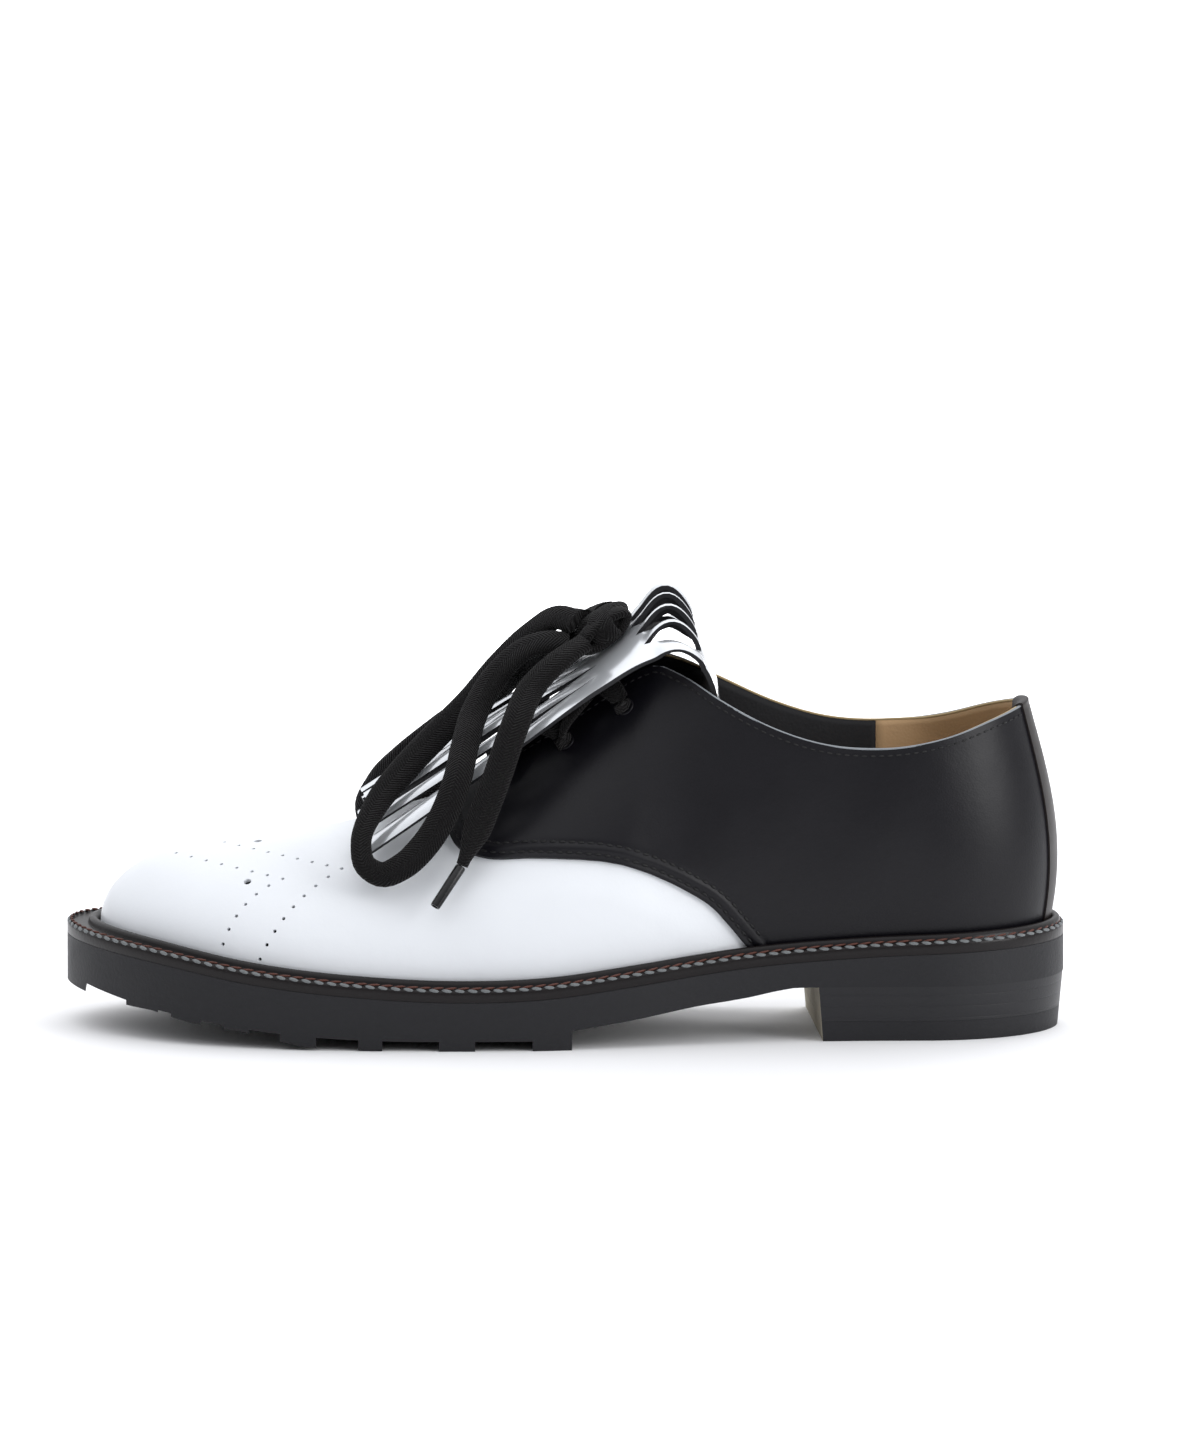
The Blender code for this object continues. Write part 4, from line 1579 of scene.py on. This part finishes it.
def under_quarter(turn, rise, point):
    """How far the vamp has sunk to go under the quarters, from 0 in the open to 1 below them."""
    side = 1.0 if turn >= 0.0 else -1.0
    edge = edge_by_turn(side)
    if abs(turn) > edge["turn"][0] and rise > read(edge, "rise", abs(turn)):
        return 1.0
    return 1.0 - ease(edge_distance(side, point), 0.0, VAMP_RUN_IN)


def vamp_rise(turn):
    """How far up the vamp reaches: to the crest, or a little way under the quarters."""
    edge = edge_by_turn(1.0 if turn >= 0.0 else -1.0)
    if abs(turn) <= edge["turn"][0]:
        return 1.0
    return min(1.0, read(edge, "rise", abs(turn)) + VAMP_UNDER)


def medallion_spots():
    """Centres of the vamp's holes as place along the shoe and height in the side view, with radii."""
    large = looks().large_hole / MM / 2
    small = looks().small_hole / MM / 2
    spots = [(x, up, large) for x, up in MEDALLION_LARGE]
    for i in MEDALLION_ROWS["row"]:
        row = {name: values[i] for name, values in MEDALLION_ROWS.items()}
        start, apex, end = [Vector((row[at + "_x"], row[at + "_up"])) for at in ("start", "apex", "end")]
        points = [start.lerp(apex, share) for share in even(0.0, 1.0, row["upper"] - 1)]
        for share in even(0.0, 1.0, row["lower"])[1:]:
            points.append(apex.lerp(end, share) + Vector(MEDALLION_BOW) * (4 * share * (1 - share)))
        spots += [(*point, small) for point in points]
    return spots


def punch(mesh, side):
    """Add the punches that cut the medallion's holes on one side of the vamp."""
    for x, up, radius in medallion_spots():
        turn, rise = find_on_upper(x, up, 1.0, seen_height)
        place = Matrix.Translation(upper_point(side * turn, rise) * MM)
        turned = upper_normal(side * turn, rise).to_track_quat("Z", "Y").to_matrix().to_4x4()
        bmesh.ops.create_cone(
            mesh,
            cap_ends=True,
            segments=12,
            radius1=radius * MM,
            radius2=radius * MM,
            depth=PUNCH_DEPTH * MM,
            matrix=place @ turned,
        )


def make_vamp():
    """White vamp over the toe, sinking under the quarters, with its punched medallion."""
    columns, rows = 190, 48
    far = turn_at(VAMP_END)

    def place(column, row):
        turn = far * (2.0 * column / columns - 1.0)
        rise = vamp_rise(turn) * row / rows
        point = upper_point(turn, rise)
        sunk = under_quarter(turn, rise, point)
        return point - crest_normal(turn, rise) * (VAMP_SINK * sunk)

    mesh = sheet_mesh(columns, rows, place)
    made = make_piece(mesh, "vamp", "upper_leather", white_calf(), sharp=60.0)
    thicken(made, QUARTER_THICK)
    bake(made)
    punches = bmesh.new()
    for side in (1.0, -1.0):
        punch(punches, side)
    carve(made, punches, sharp=60.0)
    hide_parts("upper")


def row_stops(side, rows):
    """Places along the quarter's front edge that share out both its length and its rise."""
    fine = 400
    by_length, by_rise = 0.45, 0.55
    measure = [by_length * along + by_rise * edge_place(side, along)[1] for along in even(0.0, 1.0, fine)]
    stops = []
    for row in range(rows + 1):
        goal = measure[-1] * row / rows
        i = next((k for k in range(fine) if measure[k + 1] >= goal), fine - 1)
        span = max(1e-9, measure[i + 1] - measure[i])
        stops.append((i + (goal - measure[i]) / span) / fine)
    return stops


def lasting_waves(point):
    """Slight unevenness of the pulled leather: shallow troughs behind the eyelets and at the ankle."""
    drift = point.x - LASTING_LEAN * (point.z - LASTING_LEVEL)
    waves = 0.0
    for x, z, along, up, depth in LASTING_TROUGHS:
        waves -= depth * bell(drift, x, along) * bell(point.z, z, up)
    return waves


def seam_relief(side, point):
    """Height of the leather beside the front edge: stitch grooves with a raised line between them."""
    near = edge_distance(side, point)
    grooves = sum(bell(near, row, GROOVE_SPREAD) for row in EDGE_STITCHES)
    middle = sum(EDGE_STITCHES) / len(EDGE_STITCHES)
    return RIDGE_HEIGHT * bell(near, middle, RIDGE_SPREAD) - GROOVE_DEPTH * grooves


def make_quarter(name, side):
    """Black quarter from its curved front edge round to the back of the heel; side is 1 for lateral."""
    columns, rows = 110, 84
    places = [edge_place(side, stop) for stop in row_stops(side, rows)]

    def place(column, row):
        start, rise = places[row]
        turn = start + (side * math.pi - start) * (column / columns) ** 1.5
        point = upper_point(turn, rise)
        height = lasting_waves(point) + seam_relief(side, point)
        return point + upper_normal(turn, rise) * height

    mesh = sheet_mesh(columns, rows, place, flip=side < 0.0)
    made = make_piece(mesh, name, "upper_leather", black_calf(), cut_edge(), sharp=60.0)
    thicken(made, QUARTER_THICK, rim=1)
    soften(made, CUT_ROUND)
    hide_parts("upper")


def make_backstay():
    """Narrow strip that covers the back seam from welt to collar, and folds over the edge."""
    columns, rows = 20, 48

    def place(column, row):
        turn = math.pi + BACKSTAY_HALF * (2.0 * column / columns - 1.0)
        if row <= rows:
            return on_upper(turn, row / rows, BACKSTAY_LIFT)
        out, up = BACKSTAY_FOLD[row - rows - 1]
        return on_upper(turn, 1.0, out) + UP * up

    mesh = sheet_mesh(columns, rows + len(BACKSTAY_FOLD), place)
    made = make_piece(mesh, "backstay", "upper_leather", backstay_calf(), sharp=60.0)
    thicken(made, BACKSTAY_THICK)
    soften(made, BACKSTAY_ROUND)


def make_lining(name, first, last, material, depth=1.35, thickness=0.6):
    """Lining inside the upper, from one turn to another."""
    columns, rows = 70, 36

    def place(column, row):
        turn = first + (last - first) * column / columns
        return on_upper(turn, LINING_TOP * row / rows, -depth)

    mesh = sheet_mesh(columns, rows, place, flip=last < first)
    made = make_piece(mesh, name, "upper_leather", material, sharp=60.0)
    thicken(made, thickness)


def make_rim(name, turns, material, depth, half_width, half_thick=0.35):
    """Cut edge along the top line, at a depth into the upper's wall."""
    points = [on_upper(turn, 1.0, -depth) for turn in even(*turns, 160)]
    mesh = bmesh.new()
    ribbon(mesh, points, lambda along: UP, lambda along: half_width, half_thick, sides=12)
    close(mesh)
    make_piece(mesh, name, "upper_leather", material, sharp=60.0)


# Kiltie tongue


def strip_point(i, count, share, along):
    """Point of a strip of the kiltie, at a share of its width and a place along it."""
    left = -1.0 + 2.0 * i / count
    right = -1.0 + 2.0 * (i + 1) / count
    strip, length = tongue_strip()
    half = read(strip, "half", along * length)
    left_gap, right_gap = slit_gap(along, left), slit_gap(along, right)
    gap = min(left_gap, right_gap)
    low = left + left_gap / 2 / half if i > 0 else left
    high = right - right_gap / 2 / half if i < count - 1 else right
    across = low + (high - low) * share
    crown = STRIP_CROWN * gap * (1.0 - (2.0 * share - 1.0) ** 2)
    if along < FOLD_SLIT[1]:
        towards = -1.0 if left > -0.01 else 1.0
        curl = FOLD_TWIST * gap * (1.0 - 2.0 * share) * towards
    else:
        curl = FRINGE_CURL * gap * math.sin(1.9 * i + 5.0 * along)
    return tongue_point(along, across) + tongue_normal(along, across) * (crown + curl)


def make_kiltie():
    """Patent tongue that folds forward over the lacing, slit through the fold and fringed below."""
    count = looks().strip_count
    columns, rows = 6, 200
    mesh = bmesh.new()
    for i in range(count):
        cut_back = FRINGE_UNEVEN * (1.0 + math.sin(2.4 * i))

        def place(column, row):
            along = row / rows - cut_back * ease(row / rows, 0.75, 1.0)
            return strip_point(i, count, column / columns, along)

        spots = add_grid(mesh, columns, rows, place)
        for vertex, (column, row) in spots.items():
            if row / rows < FOIL_START:
                for face in vertex.link_faces:
                    face.material_index = 2
    weld(mesh, STRIP_MERGE)
    materials = (patent(), cut_edge(), black_lining())
    made = make_piece(mesh, "kiltie_tongue", "patent_leather", *materials, sharp=60.0)
    thicken(made, TONGUE_THICK, rim=1, back=2, offset=0.0)
    soften(made, CUT_ROUND)
    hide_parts("tongue")


# Stitches and eyelets


def quarter_tree(side):
    """Search tree of a quarter as it is shown."""
    made = bpy.data.objects["quarter_lateral" if side > 0 else "quarter_medial"]
    return BVHTree.FromObject(made, bpy.context.evaluated_depsgraph_get())


def edge_row(side, distance):
    """Spots of a stitch row that follows the quarter's front edge."""
    tree = quarter_tree(side)
    step = 0.01
    spots = []
    for along in even(0.01, 0.97, 180):
        turn, rise = edge_place(side, along)
        point = upper_point(turn, rise)
        ahead = upper_point(*edge_place(side, along + step)) - upper_point(*edge_place(side, along - step))
        inner = upper_normal(turn, rise).cross(ahead).normalized()
        inside = upper_point(turn + side * 0.06, min(1.0, rise + 0.03))
        if inner.dot(inside - point) < 0.0:
            inner.negate()
        spots.append(settle(tree, point + inner * distance, STITCH_LIFT))
    return spots


def top_row(side, distance, first, last):
    """Spots of a stitch row below the top line, between two turns."""
    tree = quarter_tree(side)
    spots = []
    for turn in even(side * first, side * last, 160):
        top = upper_point(turn, 1.0)
        down = (upper_point(turn, 0.96) - top).normalized()
        spots.append(settle(tree, top + down * distance, STITCH_LIFT))
    return spots


def make_upper_stitches():
    """Stitch rows of the quarters: two along the front edge, one below the top line and facing."""
    pitch = looks().stitch_pitch / MM
    mesh = bmesh.new()
    corner = top_turn(COLLAR_CORNER)
    back = math.pi - BACKSTAY_HALF * 1.1
    for side in (1.0, -1.0):
        for distance in EDGE_STITCHES:
            sew(mesh, edge_row(side, distance), pitch, EDGE_STITCH)
        sew(mesh, top_row(side, TOP_ROW, corner, back), TOP_PITCH, TOP_STITCH)
        sew(mesh, top_row(side, FACING_ROW, top_turn(FACING_START), corner), TOP_PITCH, TOP_STITCH)
    close(mesh)
    make_piece(mesh, "upper_stitches", "upper_leather", thread("black_waxed_thread", "#101012"), sharp=80.0)


def make_welt_row(name, material, distance, lift, lean, slant, length, width, height):
    """One row of stitches along the welt's outer edge, leaning out by an angle."""
    pitch = looks().welt_pitch / MM
    out, up = math.sin(math.radians(lean)), math.cos(math.radians(lean))
    spots = []
    for turn in even(0.0, 2 * math.pi, 400):
        point = inset(turn, distance)
        point.z = welt_top(point.x) + lift
        spots.append((point, outward(turn) * out + UP * up))
    mesh = bmesh.new()
    sew(mesh, spots, pitch, (pitch * length, width, height), math.radians(slant))
    close(mesh)
    make_piece(mesh, name, "welt_leather", material, sharp=80.0)


def make_welt_stitches():
    """Welt's edge: slanted grey dashes along its corner, and brown thread between them and the rib."""
    make_welt_row("welt_dashes", thread("grey_welt_thread", "#777B7D"), **WELT_DASHES)
    make_welt_row("welt_thread", thread("brown_welt_thread", "#5C3226"), **WELT_THREAD)


def make_eyelets():
    """Blind eyelets: small rolled rims round the lace holes in both facings."""
    mesh = bmesh.new()
    sides = 20
    for turn in [eyelet_turn(x, side) for side in (-1.0, 1.0) for x in EYELET_ROWS]:
        centre = upper_point(turn, EYELET_DEPTH)
        turned = upper_normal(turn, EYELET_DEPTH).to_track_quat("Z", "Y").to_matrix()

        def place(column, row):
            out, up = EYELET_RIM[row]
            angle = 2 * math.pi * (column % sides) / sides
            return centre + turned @ Vector((out * math.cos(angle), out * math.sin(angle), up))

        add_grid(mesh, sides, len(EYELET_RIM) - 1, place)
    weld(mesh)
    made = make_piece(mesh, "eyelet_rims", "upper_leather", black_calf(), sharp=60.0)
    thicken(made, EYELET_THICK)


# Add-on


def colour_property(name, description, code):
    """Colour setting with an sRGB hex default."""
    return bpy.props.FloatVectorProperty(
        name=name, description=description, default=linear(code), size=3, min=0.0, max=1.0, subtype="COLOR"
    )


def length_property(name, description, default):
    """Length setting in metres, from millimetres."""
    return bpy.props.FloatProperty(
        name=name, description=description, default=default * MM, min=0.0, unit="LENGTH"
    )


class ShoeLooks(bpy.types.PropertyGroup):
    """Sizes and colours of the shoe that a user would change."""

    vamp_colour: colour_property("Vamp", "Colour of the vamp's leather", "#E9ECF0")
    quarter_colour: colour_property("Quarters", "Colour of the quarters' leather", "#0E0D13")
    kiltie_colour: colour_property("Kiltie", "Colour under the kiltie's lacquer", "#E4E7EB")
    lining_colour: colour_property("Heel lining", "Colour of the lining at the heel", "#B89770")
    lace_colour: colour_property("Lace", "Colour of the woven lace", "#141213")
    welt_colour: colour_property("Welt", "Colour of the welt's leather", "#140F10")
    sole_colour: colour_property("Sole", "Colour of outsole and heel", "#19191D")
    lace_width: length_property("Lace width", "Width of the flat lace", 8.0)
    lace_thickness: length_property("Lace thickness", "Thickness of the flat lace", 4.0)
    small_hole: length_property("Small holes", "Diameter of the medallion's small holes", 1.0)
    large_hole: length_property("Large holes", "Diameter of the medallion's large holes", 2.2)
    stitch_pitch: length_property("Stitch pitch", "Distance from stitch to stitch on the quarters", 2.6)
    welt_pitch: length_property("Welt pitch", "Distance from stitch to stitch on the welt", 3.5)
    strip_count: bpy.props.IntProperty(
        name="Strips", description="Number of strips the kiltie is slit into", default=10, min=4, max=20
    )


class SHOE_OT_stage(bpy.types.Operator):
    """Set up the camera, the soft light and the floor"""

    bl_idname = "shoe.stage"
    bl_label = "Studio"

    def execute(self, context):
        context.scene.view_settings.view_transform = "Standard"
        make_camera()
        make_world(front=0.18, behind=0.50, above=1.15)
        make_softbox("heel_side_softbox", place=(2.0, -1.3, 0.9), size=(1.2, 1.2), power=24.0)
        make_softbox("low_back_softbox", place=(0.15, 1.0, 0.26), size=(1.4, 0.5), power=15.0, shine=False)
        make_floor()
        return {"FINISHED"}


class SHOE_OT_lace(bpy.types.Operator):
    """Build the bow, its knot and tails, and the lace between the facings"""

    bl_idname = "shoe.lace"
    bl_label = "Lace"

    def execute(self, context):
        make_loop("lateral", -1.0)
        make_loop("medial", 1.0)
        make_tail("lateral", -1.0)
        make_tail("medial", 1.0)
        make_knot()
        make_crossings()
        return {"FINISHED"}


class SHOE_OT_sole(bpy.types.Operator):
    """Build the outsole, the heel, the welt and the insole"""

    bl_idname = "shoe.sole"
    bl_label = "Sole and welt"

    def execute(self, context):
        make_outsole()
        low, high = TOP_PIECE + TOP_PIECE_JOINT, HEEL_SEAT - SEAT_JOINT
        make_heel_layer("stacked_heel", "heel_block", low, high, "heel_stack", stacked_heel())
        make_heel_layer("heel_cap", "heel_top_piece", 0.0, TOP_PIECE, "top_piece_rubber", moulded_rubber())
        make_welt()
        make_insole()
        return {"FINISHED"}


class SHOE_OT_upper(bpy.types.Operator):
    """Build the vamp, the quarters, the backstay and the eyelets"""

    bl_idname = "shoe.upper"
    bl_label = "Upper"

    def execute(self, context):
        make_vamp()
        make_quarter("quarter_lateral", 1.0)
        make_quarter("quarter_medial", -1.0)
        make_backstay()
        make_eyelets()
        return {"FINISHED"}


class SHOE_OT_lining(bpy.types.Operator):
    """Build the linings and the edges along the top line"""

    bl_idname = "shoe.lining"
    bl_label = "Lining"

    def execute(self, context):
        throat = top_turn(THROAT + 0.5)
        border = top_turn(BLACK_LINING_END)
        corner = top_turn(COLLAR_CORNER)
        make_lining("front_lining_lateral", throat, border, black_lining())
        make_lining("front_lining_medial", -throat, -border, black_lining())
        make_lining("heel_lining", border, 2 * math.pi - border, tan_lining())
        make_lining("vamp_lining", -throat, throat, black_lining(), depth=2.4, thickness=0.4)
        collar = (corner, 2 * math.pi - corner)
        make_rim("collar_edge", collar, raw_edge(), depth=0.62, half_width=0.6)
        make_rim("lining_edge", collar, lining_edge(), depth=1.62, half_width=0.4)
        make_rim("facing_edge_lateral", (throat, corner), black_calf(), depth=0.95, half_width=0.98)
        make_rim("facing_edge_medial", (-throat, -corner), black_calf(), depth=0.95, half_width=0.98)
        return {"FINISHED"}


class SHOE_OT_kiltie(bpy.types.Operator):
    """Build the slit patent tongue"""

    bl_idname = "shoe.kiltie"
    bl_label = "Kiltie tongue"

    def execute(self, context):
        make_kiltie()
        return {"FINISHED"}


class SHOE_OT_stitches(bpy.types.Operator):
    """Sew the upper and the welt; needs the upper"""

    bl_idname = "shoe.stitches"
    bl_label = "Stitches"

    def execute(self, context):
        make_upper_stitches()
        make_welt_stitches()
        return {"FINISHED"}


BUILD_ORDER = (
    SHOE_OT_stage,
    SHOE_OT_lace,
    SHOE_OT_sole,
    SHOE_OT_upper,
    SHOE_OT_lining,
    SHOE_OT_kiltie,
    SHOE_OT_stitches,
)


class SHOE_PT_looks(bpy.types.Panel):
    """Settings and build steps of the shoe"""

    bl_idname = "SHOE_PT_looks"
    bl_label = "Kiltie Dress Shoe"
    bl_space_type = "VIEW_3D"
    bl_region_type = "UI"
    bl_category = "Shoe"

    def draw(self, context):
        for name in ShoeLooks.__annotations__:
            self.layout.prop(context.scene.shoe_looks, name)
        for step in BUILD_ORDER:
            self.layout.operator(step.bl_idname)


CLASSES = (ShoeLooks, *BUILD_ORDER, SHOE_PT_looks)


def register():
    """Add the shoe's settings, steps and panel."""
    for made in CLASSES:
        bpy.utils.register_class(made)
    bpy.types.Scene.shoe_looks = bpy.props.PointerProperty(type=ShoeLooks)


def unregister():
    """Take the shoe's settings, steps and panel away."""
    del bpy.types.Scene.shoe_looks
    for made in reversed(CLASSES):
        bpy.utils.unregister_class(made)


def main():
    """Build the whole shoe."""
    register()
    for step in BUILD_ORDER:
        group, name = step.bl_idname.split(".")
        getattr(getattr(bpy.ops, group), name)()


if __name__ == "__main__":
    main()
